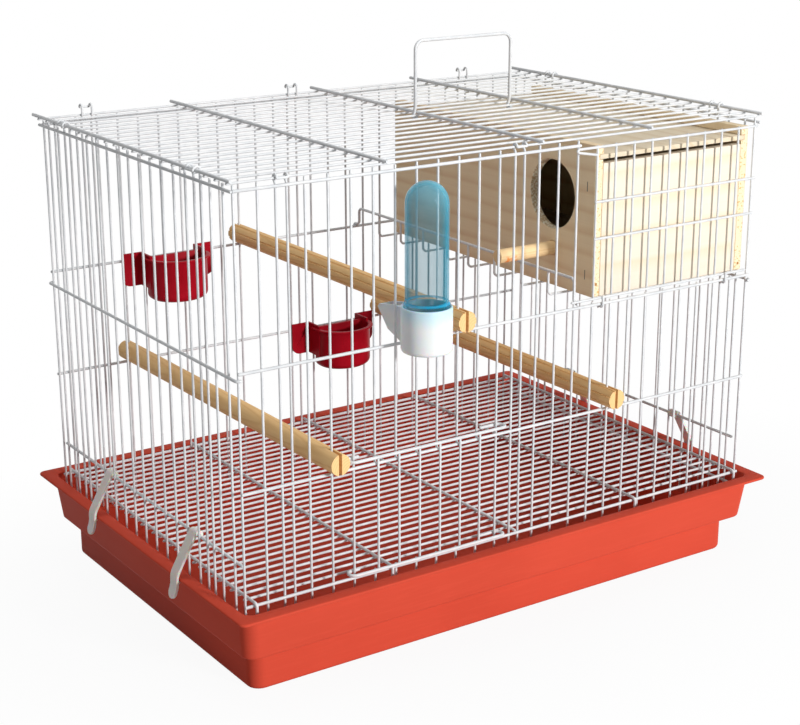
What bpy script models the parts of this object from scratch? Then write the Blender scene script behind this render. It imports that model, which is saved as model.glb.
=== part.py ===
"""Bird breeding cage: welded wire panels on a moulded tray, with a pine nest box, perches,
feeder cups and a tube drinker. Metres, +Z up, origin under the middle of the tray."""
import math

import bmesh
import bpy
from mathutils import Matrix, Vector

MM = 0.001

# Wire sizes, and how far two welded wires sink into each other
WIRE_R = 1.0 * MM
RAIL_R = 1.3 * MM
ROOF_RAIL_R = 1.45 * MM
GRATE_WIRE_R = 1.1 * MM
DOOR_RAIL_R = 1.4 * MM
NEST_DOOR_RAIL_R = 1.1 * MM
HANDLE_R = 1.5 * MM
WELD_BITE = 0.25 * MM
GAP = 0.35 * MM
RIDGE_TURN = math.radians(30)
FOUR_SIDED = 0
SIX_SIDED = 1

# Cage body: the front and back panels stand at the ends of the side panels
CAGE_HALF_X = 260.0 * MM
CAGE_HALF_Y = 170.5 * MM
SIDE_STAND_OFF = 0.9 * MM
WIRE_PITCH = 20.0 * MM
RAIL_OVERRUN = 1.3 * MM
PANEL_TOP_Z = 407.6 * MM
TOP_RAIL_Z = 403.5 * MM
BASE_RAIL_Z = 77.0 * MM
FRONT_MID_Z = 266.0 * MM
FRONT_LOWER_Z = 170.5 * MM
BACK_MID_Z = 271.0 * MM
BACK_LOWER_Z = 175.0 * MM
SIDE_MID_Z = 261.0 * MM
SIDE_LOWER_Z = 109.4 * MM
SIDE_FOOT_RAIL_Z = 64.0 * MM
SIDE_FIRST_WIRE = 13.0 * MM
SIDE_WIRES = 17
SIDE_LOOP_WIRES = (2, 14)
FRONT_LOOP_X = (-220.0 * MM, 0.0)
BACK_LOOP_X = (-220.0 * MM, -10.0 * MM, 190.0 * MM)
LOOP_HALF_X = 4.7 * MM
SIDE_LOOP_HALF = 5.5 * MM
BACK_LOOP_RISE = 6.5 * MM

# Tray: two stepped bands under a flat rim, with a ledge inside that carries the cage
TRAY_RIM_HALF = (277.5 * MM, 196.0 * MM)
TRAY_UPPER_TOP_HALF = (268.5 * MM, 185.5 * MM)
TRAY_UPPER_FOOT_HALF = (265.0 * MM, 181.0 * MM)
TRAY_LOWER_HALF = (254.0 * MM, 168.5 * MM)
TRAY_HEIGHT = 75.5 * MM
TRAY_STEP_Z = 34.5 * MM
TRAY_WALL = 2.5 * MM
TRAY_EDGE = 4.0 * MM
TRAY_BAND_CORNER = 12.0 * MM
TRAY_RIM_CORNER = 6.0 * MM
TRAY_CORNER_STEPS = 3

# Floor grate, hooked over the base rails
GRATE_WIRES = 31
GRATE_HALF_Y = 160.0 * MM
GRATE_RAIL_X = (-253.0 * MM, -127.0 * MM, 0.0, 133.0 * MM, 254.0 * MM)
GRATE_HOOKED = (0, 1, 3, 4)
GRATE_OVERRUN = 3.0 * MM
GRATE_LEG = 18.0 * MM
GRATE_HOOK_SLACK = 1.05 * MM

# Roof grille
ROOF_WIRES = 21
ROOF_HALF_Y = 170.2 * MM
ROOF_WIRE_Z = 409.0 * MM
ROOF_RAIL_X = (-264.0 * MM, -130.0 * MM, 20.0 * MM, 136.0 * MM, 264.0 * MM)
ROOF_FRONT_OVERRUN = 4.8 * MM
ROOF_BACK_OVERRUN = 13.8 * MM

# Sliding door in the front panel
DOOR_GUIDES = (5, 12)
DOOR_HEIGHT = 96.5 * MM
DOOR_TRAVEL = 78.0 * MM
DOOR_RETURNS = (8.0 * MM, 16.0 * MM)

# Drop-down door in front of the nest box
NEST_DOOR_JAMB = 16
NEST_DOOR_TOP_Z = 400.5 * MM
NEST_DOOR_BARS_Z = (323.0 * MM, 354.5 * MM)
NEST_DOOR_SILL_Z = 271.5 * MM
NEST_DOOR_LEFT = 55.0 * MM
NEST_DOOR_SILL_RIGHT = 255.8 * MM
KNUCKLE_X = (88.0 * MM, 230.0 * MM)
KNUCKLE_TAIL = 3.0 * MM
LATCH_DROP = 2.7 * MM
LATCH_RETURN_X = 78.0 * MM
LATCH_RETURN_FALL = 3.6 * MM

# Carry handle
HANDLE_FEET_X = (16.0 * MM, 120.0 * MM)
HANDLE_TOP_Z = 474.0 * MM
HANDLE_CORNER = 8.0 * MM

# Nest box and the wire rack under it
NEST_LOW = (84.0 * MM, -165.0 * MM, 269.9 * MM)
NEST_HIGH = (258.0 * MM, 133.0 * MM, 400.0 * MM)
NEST_BOARD = 8.0 * MM
NEST_LID_DROP = 8.0 * MM
NEST_LID = 4.0 * MM
NEST_SLOT = 3.6 * MM
LID_GROOVE = 4.0 * MM
NEST_HOLE_R = 30.0 * MM
NEST_HOLE_Y = -109.0 * MM
NEST_HOLE_Z = 350.0 * MM
PEG_R = 6.0 * MM
PEG_OUT = 60.0 * MM
PEG_Y = -111.0 * MM
PEG_Z = 303.0 * MM
RACK_ROD_X = 63.2 * MM
RACK_ROD_Z = 290.0 * MM
RACK_WIRES = 8
RACK_FIRST_Y = -132.0 * MM
RACK_LAST_Y = 130.5 * MM
RACK_WIRE_CLEAR = 3.3 * MM

# Perches, slotted over a wire at each end
PERCH_R = 8.8 * MM
PERCH_KERF = 2.8 * MM
PERCH_KERF_DEPTH = 15.0 * MM
PERCH_FLUTES = 8
PERCH_FLUTE_DEPTH = 1.0 * MM
PERCH_FLUTE_WIDTH = 1.6 * MM
PERCH_PROUD = (13.0 * MM, 6.0 * MM)

# Feeder cups, hooked over a back rail
CUP_HALF_X = 28.0 * MM
CUP_BACK = 12.0 * MM
CUP_STRAIGHT = 20.0 * MM
CUP_DEPTH = 44.0 * MM
CUP_HEIGHT = 40.0 * MM
CUP_WALL = 1.6 * MM
CUP_LIP = 3.0 * MM
CUP_ARC_STEPS = 9
CUP_EAR_HALF_X = 47.0 * MM
CUP_EAR_HEIGHT = 31.0 * MM
CUP_EAR_RISE = 3.0 * MM
CUP_EAR_CORNER = 8.0 * MM
CUP_HOOK_X = 33.0 * MM
CUP_HOOK_WIDTH = 3.0 * MM
CUP_HOOK_LEG = 7.0 * MM
CUP_RIM_OVER_RAIL = 4.4 * MM
CUP_UPPER_X = -147.0 * MM
CUP_LOWER_X = 31.5 * MM

# Drinker: a tube standing in a base whose trough reaches in between two wires
DRINKER_X = -107.0 * MM
DRINKER_Y = -194.6 * MM
DRINKER_BASE_R = 20.3 * MM
DRINKER_BASE_Z = (263.5 * MM, 300.0 * MM)
DRINKER_WALL = 1.6 * MM
TUBE_R = 17.0 * MM
TUBE_WALL = 1.3 * MM
TUBE_FOOT_Z = 271.0 * MM
TUBE_TOP_Z = 397.6 * MM
TUBE_RING_R = 18.3 * MM
TUBE_RING_Z = (291.0 * MM, 303.0 * MM)
TROUGH_X = -110.0 * MM
TROUGH_HALF_X = 7.0 * MM
TROUGH_TIP_Y = -141.0 * MM
TROUGH_FOOT_Y = -155.0 * MM
TROUGH_TOP_Z = 295.0 * MM

# Tray clips, hung on the lower side rails
CLIP_WIDTH = 11.0 * MM
CLIP_THICK = 2.2 * MM
CLIP_CELLS = (3, 11)
CLIP_RIM_CLEAR = 1.0 * MM
CLIP_NIB = 1.9 * MM
CLIP_TAIL_Z = 59.0 * MM
CLIP_TAIL_FLARE = 3.5 * MM

# Places worked out from the sizes above
WELD_STEP = WIRE_R + RAIL_R - WELD_BITE
RAIL_Y = CAGE_HALF_Y + WELD_STEP
SIDE_X = CAGE_HALF_X + SIDE_STAND_OFF
SIDE_RAIL_X = SIDE_X + WELD_STEP
SIDE_INNER_RAIL_X = SIDE_X - WELD_STEP
LEDGE_Z = TRAY_STEP_Z + TRAY_WALL
FEET_Z = LEDGE_Z + GAP
FLAT_R = math.cos(RIDGE_TURN)
GRATE_RAIL_Z = BASE_RAIL_Z + RAIL_R * FLAT_R + GAP + RAIL_R
GRATE_WIRE_Z = GRATE_RAIL_Z - (GRATE_WIRE_R + RAIL_R - WELD_BITE)
GRATE_HOOK_Y = RAIL_Y + 2 * RAIL_R + GRATE_HOOK_SLACK
ROOF_RAIL_Z = ROOF_WIRE_Z + WIRE_R + ROOF_RAIL_R - WELD_BITE
DOOR_WIRE_Y = -(RAIL_Y + RAIL_R + WIRE_R + 2 * GAP)
DOOR_RAIL_Y = DOOR_WIRE_Y - (WIRE_R + DOOR_RAIL_R - WELD_BITE)
DOOR_RETURN_Y = -(CAGE_HALF_Y - WIRE_R - DOOR_RAIL_R - GAP)
DOOR_LOW_Z = GRATE_RAIL_Z + RAIL_R
NEST_DOOR_RAIL_Y = -(CAGE_HALF_Y + WIRE_R + NEST_DOOR_RAIL_R + 1.5 * GAP)
NEST_DOOR_WIRE_Y = NEST_DOOR_RAIL_Y + WIRE_R + NEST_DOOR_RAIL_R - WELD_BITE
KNUCKLE_R = RAIL_R + WIRE_R + GAP
RACK_WIRE_Z = NEST_LOW[2] - GAP - GRATE_WIRE_R
CLIP_RING_R = RAIL_R + 0.45 * MM + CLIP_THICK / 2
CUP_EAR_Y = CAGE_HALF_Y - WIRE_R - GAP
TROUGH_FLOOR_Z = FRONT_MID_Z + RAIL_R + GAP

COLLECTION = "bird_breeding_cage"


def clear_scene():
    """Remove every object and start with the two collections that the model uses."""
    for thing in list(bpy.data.objects):
        bpy.data.objects.remove(thing)
    for name in (COLLECTION, "cutters"):
        group = bpy.data.collections.new(name)
        bpy.context.scene.collection.children.link(group)


def paint(name, colour, roughness, metallic=0.0, alpha=1.0):
    """A Principled material."""
    material = bpy.data.materials.new(name)
    material.use_nodes = True
    shader = material.node_tree.nodes["Principled BSDF"]
    shader.inputs["Base Color"].default_value = (*colour, 1.0)
    shader.inputs["Roughness"].default_value = roughness
    shader.inputs["Metallic"].default_value = metallic
    shader.inputs["Alpha"].default_value = alpha
    return material


def place(name, mesh):
    """A new object in the model's collection."""
    thing = bpy.data.objects.new(name, mesh)
    bpy.data.collections[COLLECTION].objects.link(thing)
    return thing


def cutter(thing):
    """Move an object to the cutters and keep it out of renders."""
    bpy.data.collections[COLLECTION].objects.unlink(thing)
    bpy.data.collections["cutters"].objects.link(thing)
    thing.hide_render = True
    thing.display_type = "WIRE"
    return thing


def discard(thing):
    """Remove an object and the mesh that only it used."""
    mesh = thing.data
    bpy.data.objects.remove(thing)
    bpy.data.meshes.remove(mesh)


def evaluated_mesh(thing):
    """The object's mesh as its modifiers or its bevel shape it."""
    graph = bpy.context.evaluated_depsgraph_get()
    return bpy.data.meshes.new_from_object(thing.evaluated_get(graph))


def apply_modifiers(thing):
    """Bake the modifiers into the object's mesh."""
    old = thing.data
    thing.data = evaluated_mesh(thing)
    thing.modifiers.clear()
    bpy.data.meshes.remove(old)


def weld_seams(mesh):
    """Join the loose caps of a curve's mesh and face every side outwards."""
    work = bmesh.new()
    work.from_mesh(mesh)
    bmesh.ops.remove_doubles(work, verts=work.verts, dist=0.001 * MM)
    bmesh.ops.recalc_face_normals(work, faces=work.faces)
    work.to_mesh(mesh)
    work.free()


def from_curve(name, curve, matrix=Matrix.Identity(4)):
    """Turn a curve into a closed mesh object."""
    guide = bpy.data.objects.new(name + "_curve", curve)
    bpy.data.collections[COLLECTION].objects.link(guide)
    guide.matrix_world = matrix
    mesh = evaluated_mesh(guide)
    weld_seams(mesh)
    mesh.name = name
    thing = place(name, mesh)
    thing.matrix_world = matrix
    bpy.data.objects.remove(guide)
    bpy.data.curves.remove(curve)
    mesh.transform(matrix)
    thing.matrix_world = Matrix.Identity(4)
    return thing


def led_in(path, lead):
    """Add a point just short of each bend of a long run, so that the run keeps its full section."""
    points = [Vector(path[0])]
    last = len(path) - 1
    for i in range(1, last + 1):
        start = Vector(path[i - 1])
        end = Vector(path[i])
        along = end - start
        if along.length > 10 * lead:
            if i > 1:
                points.append(start + along.normalized() * lead)
            if i < last:
                points.append(end - along.normalized() * lead)
        points.append(end)
    return points


def wires(name, paths, radius, section=SIX_SIDED, turn=0.0):
    """Wires along the given paths; turn rolls a six-sided wire's ridges round it."""
    curve = bpy.data.curves.new(name, "CURVE")
    curve.dimensions = "3D"
    curve.bevel_depth = radius
    curve.bevel_resolution = section
    curve.use_fill_caps = True
    for path in paths:
        path = led_in(path, radius)
        spline = curve.splines.new("POLY")
        spline.points.add(len(path) - 1)
        for point, spot in zip(spline.points, path):
            point.co = (*spot, 1.0)
            point.tilt = turn
    return from_curve(name, curve)


def plate(name, outline, thickness, matrix):
    """A flat outline, thickened evenly about its own plane and then placed."""
    curve = bpy.data.curves.new(name, "CURVE")
    curve.dimensions = "2D"
    curve.fill_mode = "BOTH"
    curve.extrude = thickness / 2
    spline = curve.splines.new("POLY")
    spline.points.add(len(outline) - 1)
    spline.use_cyclic_u = True
    for point, (a, b) in zip(spline.points, outline):
        point.co = (a, b, 0.0, 1.0)
    return from_curve(name, curve, matrix)


def box(name, low, high):
    """A block between two corners."""
    work = bmesh.new()
    bmesh.ops.create_cube(work, size=1.0)
    size = [b - a for a, b in zip(low, high)]
    middle = [(a + b) / 2 for a, b in zip(low, high)]
    bmesh.ops.scale(work, vec=size, verts=work.verts)
    bmesh.ops.translate(work, vec=middle, verts=work.verts)
    mesh = bpy.data.meshes.new(name)
    work.to_mesh(mesh)
    work.free()
    return place(name, mesh)


def rod(name, start, end, radius, sides):
    """A plain round bar between two points."""
    start = Vector(start)
    along = Vector(end) - start
    work = bmesh.new()
    bmesh.ops.create_cone(
        work, cap_ends=True, segments=sides, radius1=radius, radius2=radius, depth=along.length
    )
    turn = along.to_track_quat("Z", "Y").to_matrix().to_4x4()
    bmesh.ops.transform(work, matrix=Matrix.Translation(start + along / 2) @ turn, verts=work.verts)
    mesh = bpy.data.meshes.new(name)
    work.to_mesh(mesh)
    work.free()
    return place(name, mesh)


def turned(name, profile, centre, steps):
    """A profile of (radius, height) points, turned about an upright axis."""
    mesh = bpy.data.meshes.new(name)
    mesh.from_pydata([(r, 0.0, z) for r, z in profile], [(i, i + 1) for i in range(len(profile) - 1)], [])
    thing = place(name, mesh)
    screw = thing.modifiers.new("turn", "SCREW")
    screw.steps = steps
    screw.render_steps = steps
    screw.use_merge_vertices = True
    screw.merge_threshold = 0.01 * MM
    apply_modifiers(thing)
    weld_seams(thing.data)
    thing.data.transform(Matrix.Translation((*centre, 0.0)))
    return thing


def loft(name, rings):
    """A closed skin through rings of equally many points, capped at both ends."""
    work = bmesh.new()
    rows = [[work.verts.new(spot) for spot in ring] for ring in rings]
    count = len(rows[0])
    for lower, upper in zip(rows, rows[1:]):
        for i in range(count):
            j = (i + 1) % count
            work.faces.new((lower[i], lower[j], upper[j], upper[i]))
    work.faces.new(rows[0][::-1])
    work.faces.new(rows[-1])
    bmesh.ops.recalc_face_normals(work, faces=work.faces)
    mesh = bpy.data.meshes.new(name)
    work.to_mesh(mesh)
    work.free()
    return place(name, mesh)


def combine(target, tool, operation):
    """Cut, join or intersect two solids and use up the second one."""
    step = target.modifiers.new(operation.lower(), "BOOLEAN")
    step.operation = operation
    step.solver = "EXACT"
    step.object = cutter(tool)
    apply_modifiers(target)
    discard(tool)
    return target


def finish(thing, material, pivot=None):
    """Paint a piece, shade its round sides smooth and put its origin on its joint."""
    thing.data.materials.clear()
    thing.data.materials.append(material)
    thing.data.shade_smooth()
    thing.data.set_sharp_from_angle(angle=math.radians(35))
    if pivot is not None:
        thing.data.transform(Matrix.Translation(-Vector(pivot)))
        thing.location = pivot
    return thing


def arc(centre, radius, start, end, steps):
    """Points of an arc in a plane, from one angle in degrees to another."""
    points = []
    for i in range(steps + 1):
        angle = math.radians(start + (end - start) * i / steps)
        points.append((centre[0] + radius * math.cos(angle), centre[1] + radius * math.sin(angle)))
    return points


def at_x(x, points):
    """Put (y, z) points in the plane at x."""
    return [(x, y, z) for y, z in points]


def at_y(y, points):
    """Put (x, z) points in the plane at y."""
    return [(x, y, z) for x, z in points]


def evenly(first, last, count):
    """Evenly spaced values from the first to the last."""
    return [first + (last - first) * i / (count - 1) for i in range(count)]


def grille(name, rails, rail_r, rail_turn, cross, cross_r):
    """Six-sided rails and four-sided wires across them, welded ridge to ridge."""
    panel = wires(name, rails, rail_r, turn=rail_turn)
    return combine(panel, wires(name + "_cross", cross, cross_r, FOUR_SIDED), "UNION")


def end_panel_loop(x, side, rise):
    """One wire bent into a hairpin that goes up inside the roof's edge wire and over it."""
    wire_y = side * CAGE_HALF_Y
    reach = 2 * WIRE_R + 1.7 * GAP
    over = arc((0.0, ROOF_WIRE_Z + rise), reach, 0, 180, 3)
    inner = [(side * (ROOF_HALF_Y - a), z) for a, z in over]
    jog = (wire_y, TOP_RAIL_Z + 1.3 * RAIL_R)
    knee = (inner[-1][0], ROOF_WIRE_Z - 2 * GAP)
    leg = [(wire_y, FEET_Z), jog, knee, *inner[::-1]]
    left = at_x(x - LOOP_HALF_X, leg)
    right = at_x(x + LOOP_HALF_X, leg)
    return left + right[::-1]


def side_panel_loop(y, side):
    """The same hairpin on a side panel, over the roof's edge rail."""
    reach = ROOF_RAIL_X[-1] - SIDE_X
    over = arc((0.0, ROOF_RAIL_Z), reach, 180, 0, 4)
    leg = [(SIDE_X, FEET_Z)] + [(ROOF_RAIL_X[-1] + a, z) for a, z in over]
    near = [(side * x, y - SIDE_LOOP_HALF, z) for x, z in leg]
    far = [(side * x, y + SIDE_LOOP_HALF, z) for x, z in leg]
    return near + far[::-1]


def front_wire_x():
    """The front panel's wire places, corner to corner."""
    count = round(2 * CAGE_HALF_X / WIRE_PITCH) + 1
    return evenly(-CAGE_HALF_X, CAGE_HALF_X, count)


def side_wire_y():
    """The side panels' own wire places."""
    reach = CAGE_HALF_Y - SIDE_FIRST_WIRE
    return evenly(-reach, reach, SIDE_WIRES)


def end_rail(y, z, x_low=-CAGE_HALF_X - RAIL_OVERRUN, x_high=CAGE_HALF_X + RAIL_OVERRUN):
    """A straight rail of the front or back panel."""
    return [(x_low, y, z), (x_high, y, z)]


def build_front_panel():
    """Front panel, open for the sliding door and for the nest door."""
    y = -CAGE_HALF_Y
    spots = front_wire_x()
    uprights = [end_panel_loop(x, -1, 0.0) for x in FRONT_LOOP_X]
    first, last = DOOR_GUIDES
    for i, x in enumerate(spots):
        if any(abs(x - loop) < WIRE_R for loop in FRONT_LOOP_X):
            continue
        if first < i < last:
            uprights.append([(x, y, FEET_Z), (x, y, BASE_RAIL_Z + 1.7 * RAIL_R)])
            uprights.append([(x, y, FRONT_LOWER_Z - 1.3 * RAIL_R), (x, y, PANEL_TOP_Z)])
        elif NEST_DOOR_JAMB < i < len(spots) - 1:
            uprights.append([(x, y, FEET_Z), (x, y, FRONT_MID_Z + 1.5 * RAIL_R)])
        else:
            uprights.append([(x, y, FEET_Z), (x, y, PANEL_TOP_Z)])
    jamb = spots[NEST_DOOR_JAMB]
    rails = [end_rail(-RAIL_Y, z) for z in (BASE_RAIL_Z, FRONT_LOWER_Z, FRONT_MID_Z)]
    rails.append(end_rail(-RAIL_Y, TOP_RAIL_Z, x_high=jamb + RAIL_OVERRUN))
    return grille("front_panel", rails, RAIL_R, 0.0, uprights, WIRE_R)


def build_back_panel():
    """Back panel: its wires stand half a pitch off the front ones."""
    y = CAGE_HALF_Y
    half = WIRE_PITCH / 2
    spots = [x + half for x in front_wire_x()[:-1]]
    spots = [-CAGE_HALF_X, *spots, CAGE_HALF_X]
    uprights = [end_panel_loop(x, 1, BACK_LOOP_RISE) for x in BACK_LOOP_X]
    for x in spots:
        if all(abs(x - loop) > WIRE_R for loop in BACK_LOOP_X):
            uprights.append([(x, y, FEET_Z), (x, y, PANEL_TOP_Z)])
    rails = [end_rail(RAIL_Y, z) for z in (BASE_RAIL_Z, BACK_LOWER_Z, BACK_MID_Z, TOP_RAIL_Z)]
    return grille("back_panel", rails, RAIL_R, 0.0, uprights, WIRE_R)


def build_side_panel(name, side):
    """Side panel, whose middle rail curls round the corner wires of the front and back."""
    uprights = []
    for i, y in enumerate(side_wire_y()):
        if i in SIDE_LOOP_WIRES:
            uprights.append(side_panel_loop(y, side))
        else:
            uprights.append([(side * SIDE_X, y, FEET_Z), (side * SIDE_X, y, PANEL_TOP_Z)])
    curl = arc((CAGE_HALF_X, CAGE_HALF_Y), SIDE_RAIL_X - CAGE_HALF_X, 0, 90, 3)
    curl.append((CAGE_HALF_X - RAIL_R, curl[-1][1]))
    middle = [(side * x, -y, SIDE_MID_Z) for x, y in curl[::-1]]
    middle += [(side * x, y, SIDE_MID_Z) for x, y in curl]
    end = CAGE_HALF_Y + WELD_STEP + RAIL_OVERRUN
    inner_end = CAGE_HALF_Y - WIRE_R - 2 * RAIL_R - GAP
    inner = side * SIDE_INNER_RAIL_X
    rails = [
        [(side * SIDE_RAIL_X, -end, TOP_RAIL_Z), (side * SIDE_RAIL_X, end, TOP_RAIL_Z)],
        middle,
        [(inner, -inner_end, SIDE_LOWER_Z), (inner, inner_end, SIDE_LOWER_Z)],
        [(inner, -inner_end, SIDE_FOOT_RAIL_Z), (inner, inner_end, SIDE_FOOT_RAIL_Z)],
    ]
    return grille(name, rails, RAIL_R, 0.0, uprights, WIRE_R)


def build_roof_panel():
    """Roof grille: close wires across, thick rails on top from front to back."""
    end = ROOF_RAIL_X[-1] + ROOF_RAIL_R
    across = [[(-end, y, ROOF_WIRE_Z), (end, y, ROOF_WIRE_Z)]
              for y in evenly(-ROOF_HALF_Y, ROOF_HALF_Y, ROOF_WIRES)]
    front = -ROOF_HALF_Y - ROOF_FRONT_OVERRUN
    back = ROOF_HALF_Y + ROOF_BACK_OVERRUN
    rails = [[(x, front, ROOF_RAIL_Z), (x, back, ROOF_RAIL_Z)] for x in ROOF_RAIL_X]
    return grille("roof_panel", rails, ROOF_RAIL_R, RIDGE_TURN, across, WIRE_R)


def build_floor_grate():
    """Floor grate: its rails lie over the base rails, and four of them hook down in front."""
    end_low = GRATE_RAIL_X[0] - GRATE_OVERRUN
    end_high = GRATE_RAIL_X[-1] + GRATE_OVERRUN
    across = [[(end_low, y, GRATE_WIRE_Z), (end_high, y, GRATE_WIRE_Z)]
              for y in evenly(-GRATE_HALF_Y, GRATE_HALF_Y, GRATE_WIRES)]
    shoulder = 2 * RAIL_R
    rails = []
    for i, x in enumerate(GRATE_RAIL_X):
        path = [(RAIL_Y + 2 * RAIL_R, GRATE_RAIL_Z), (-RAIL_Y - RAIL_R, GRATE_RAIL_Z)]
        if i in GRATE_HOOKED:
            path += [(-GRATE_HOOK_Y, GRATE_RAIL_Z - shoulder / 2), (-GRATE_HOOK_Y, GRATE_RAIL_Z - GRATE_LEG)]
        rails.append(at_x(x, path))
    return grille("floor_grate", rails, RAIL_R, RIDGE_TURN, across, GRATE_WIRE_R)


def build_front_door():
    """Sliding door: its rails turn back round the two guide wires of the front panel."""
    spots = front_wire_x()
    low, high = (spots[i] for i in DOOR_GUIDES)
    middle = (DOOR_RAIL_Y + DOOR_RETURN_Y) / 2
    bend = (DOOR_RETURN_Y - DOOR_RAIL_Y) / 2
    turn_x = WIRE_R + GAP
    left = arc((low - turn_x, middle), bend, 90, 270, 4)
    right = arc((high + turn_x, middle), bend, -90, 90, 4)
    start = (low - turn_x + DOOR_RETURNS[0], DOOR_RETURN_Y)
    end = (high + turn_x - DOOR_RETURNS[1], DOOR_RETURN_Y)
    plan = [start, *left, *right, end]
    rails = [[(x, y, z) for x, y in plan] for z in (DOOR_LOW_Z, DOOR_LOW_Z + DOOR_HEIGHT)]
    bars = [[(x, DOOR_WIRE_Y, DOOR_LOW_Z - DOOR_RAIL_R / 2), (x, DOOR_WIRE_Y, DOOR_LOW_Z + DOOR_HEIGHT + DOOR_RAIL_R / 2)]
            for x in spots[DOOR_GUIDES[0] + 1:DOOR_GUIDES[1]]]
    return grille("front_door", rails, DOOR_RAIL_R, 0.0, bars, WIRE_R)


def build_nest_door():
    """Drop-down door, whose two knuckles hook round the front panel's middle rail."""
    spots = front_wire_x()
    first = spots[NEST_DOOR_JAMB]
    y = NEST_DOOR_RAIL_Y
    right = CAGE_HALF_X + RAIL_OVERRUN - 0.3 * MM
    finger = first - 3.0 * MM
    latch = [(finger + LATCH_DROP / 2, NEST_DOOR_TOP_Z), (finger, NEST_DOOR_TOP_Z - LATCH_DROP / 2),
             (finger + LATCH_DROP / 2, NEST_DOOR_TOP_Z - LATCH_DROP)]
    latch.append((LATCH_RETURN_X, NEST_DOOR_TOP_Z - LATCH_DROP - LATCH_RETURN_FALL))
    rails = [at_y(y, [(right, NEST_DOOR_TOP_Z), *latch])]
    left = spots[NEST_DOOR_JAMB + 1] - 2 * RAIL_R
    rails += [[(left, y, z), (right, y, z)] for z in NEST_DOOR_BARS_Z]
    rails.append([(NEST_DOOR_LEFT, y, NEST_DOOR_SILL_Z), (NEST_DOOR_SILL_RIGHT, y, NEST_DOOR_SILL_Z)])
    bars = [[(x, NEST_DOOR_WIRE_Y, NEST_DOOR_SILL_Z - 1.2 * WIRE_R), (x, NEST_DOOR_WIRE_Y, NEST_DOOR_TOP_Z + 1.2 * WIRE_R)]
            for x in spots[NEST_DOOR_JAMB + 1:-1]]
    hook = arc((-RAIL_Y, FRONT_MID_Z), KNUCKLE_R, 180, 310, 6)
    weld_y = y - (NEST_DOOR_RAIL_R + WIRE_R - WELD_BITE)
    slope = math.radians(220)
    tail = (hook[-1][0] - KNUCKLE_TAIL * math.cos(slope), hook[-1][1] + KNUCKLE_TAIL * math.sin(slope))
    path = [(weld_y, NEST_DOOR_SILL_Z + 1.5 * WIRE_R), (weld_y, NEST_DOOR_SILL_Z - 2 * WIRE_R), *hook, tail]
    bars += [at_x(x, path) for x in KNUCKLE_X]
    return grille("nest_door", rails, NEST_DOOR_RAIL_R, 0.0, bars, WIRE_R)


def build_carry_handle():
    """Bail handle, whose feet hook round the roof's middle wire."""
    hook_r = WIRE_R + HANDLE_R + GAP
    foot = arc((0.0, ROOF_WIRE_Z), hook_r, -160, 45, 5)
    foot.append((0.0, ROOF_WIRE_Z + 2.6 * hook_r))
    left, right = HANDLE_FEET_X
    corner_z = HANDLE_TOP_Z - HANDLE_CORNER
    near = arc((left + HANDLE_CORNER, corner_z), HANDLE_CORNER, 180, 90, 3)
    far = arc((right - HANDLE_CORNER, corner_z), HANDLE_CORNER, 90, 0, 3)
    path = at_x(left, foot) + at_y(0.0, near + far) + at_x(right, foot)[::-1]
    return wires("carry_handle", [path], HANDLE_R)


def clear_of(y, others, least):
    """The place nearest to y that keeps a least distance to each of the others."""
    nearest = min(others, key=lambda other: abs(other - y))
    if abs(nearest - y) >= least:
        return y
    return nearest + math.copysign(least, y - nearest)


def build_nest_rack():
    """Wire rack: a raised rod, and wires that drop from it, pass under the nest box and
    lie over the right panel's middle rail."""
    chamfer = 2 * RAIL_R
    front_rest = FRONT_MID_Z + RAIL_R * FLAT_R + GAP + RAIL_R
    back_rest = BACK_MID_Z + RAIL_R * FLAT_R + GAP + RAIL_R
    post = CAGE_HALF_Y - WIRE_R - chamfer - GAP
    rod_path = [
        (-RAIL_Y, front_rest),
        (-post - chamfer, front_rest),
        (-post, front_rest + chamfer),
        (-post, RACK_ROD_Z - chamfer),
        (-post + chamfer, RACK_ROD_Z),
        (post - chamfer, RACK_ROD_Z),
        (post, RACK_ROD_Z - chamfer),
        (post, back_rest + chamfer),
        (post + chamfer, back_rest),
        (RAIL_Y + RAIL_R, back_rest),
        (RAIL_Y + 3 * RAIL_R, back_rest - 2 * RAIL_R),
    ]
    legs = []
    side_wires = []
    for i, y in enumerate(side_wire_y()):
        side_wires += [y - SIDE_LOOP_HALF, y + SIDE_LOOP_HALF] if i in SIDE_LOOP_WIRES else [y]
    rest = SIDE_MID_Z + RAIL_R + GAP + GRATE_WIRE_R
    for y in evenly(RACK_FIRST_Y, RACK_LAST_Y, RACK_WIRES):
        y = clear_of(y, side_wires, RACK_WIRE_CLEAR)
        legs.append(at_y(y, [
            (RACK_ROD_X, RACK_ROD_Z - RAIL_R / 2),
            (RACK_ROD_X, RACK_WIRE_Z + chamfer),
            (RACK_ROD_X + chamfer, RACK_WIRE_Z),
            (NEST_HIGH[0] - chamfer, RACK_WIRE_Z),
            (SIDE_X - WIRE_R, rest),
            (SIDE_RAIL_X + RAIL_R, rest),
        ]))
    return grille("nest_rack", [at_x(RACK_ROD_X, rod_path)], RAIL_R, 0.0, legs, GRATE_WIRE_R)


def rounded_rectangle(half, inset, corner, z):
    """A ring of points round a rectangle with round corners, seen from above."""
    half_x = half[0] - inset
    half_y = half[1] - inset
    ring = []
    for i, (sign_x, sign_y) in enumerate(((1, 1), (-1, 1), (-1, -1), (1, -1))):
        centre = (sign_x * (half_x - corner), sign_y * (half_y - corner))
        ring += arc(centre, corner, 90 * i, 90 * i + 90, TRAY_CORNER_STEPS)
    return [(x, y, z) for x, y in ring]


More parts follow.
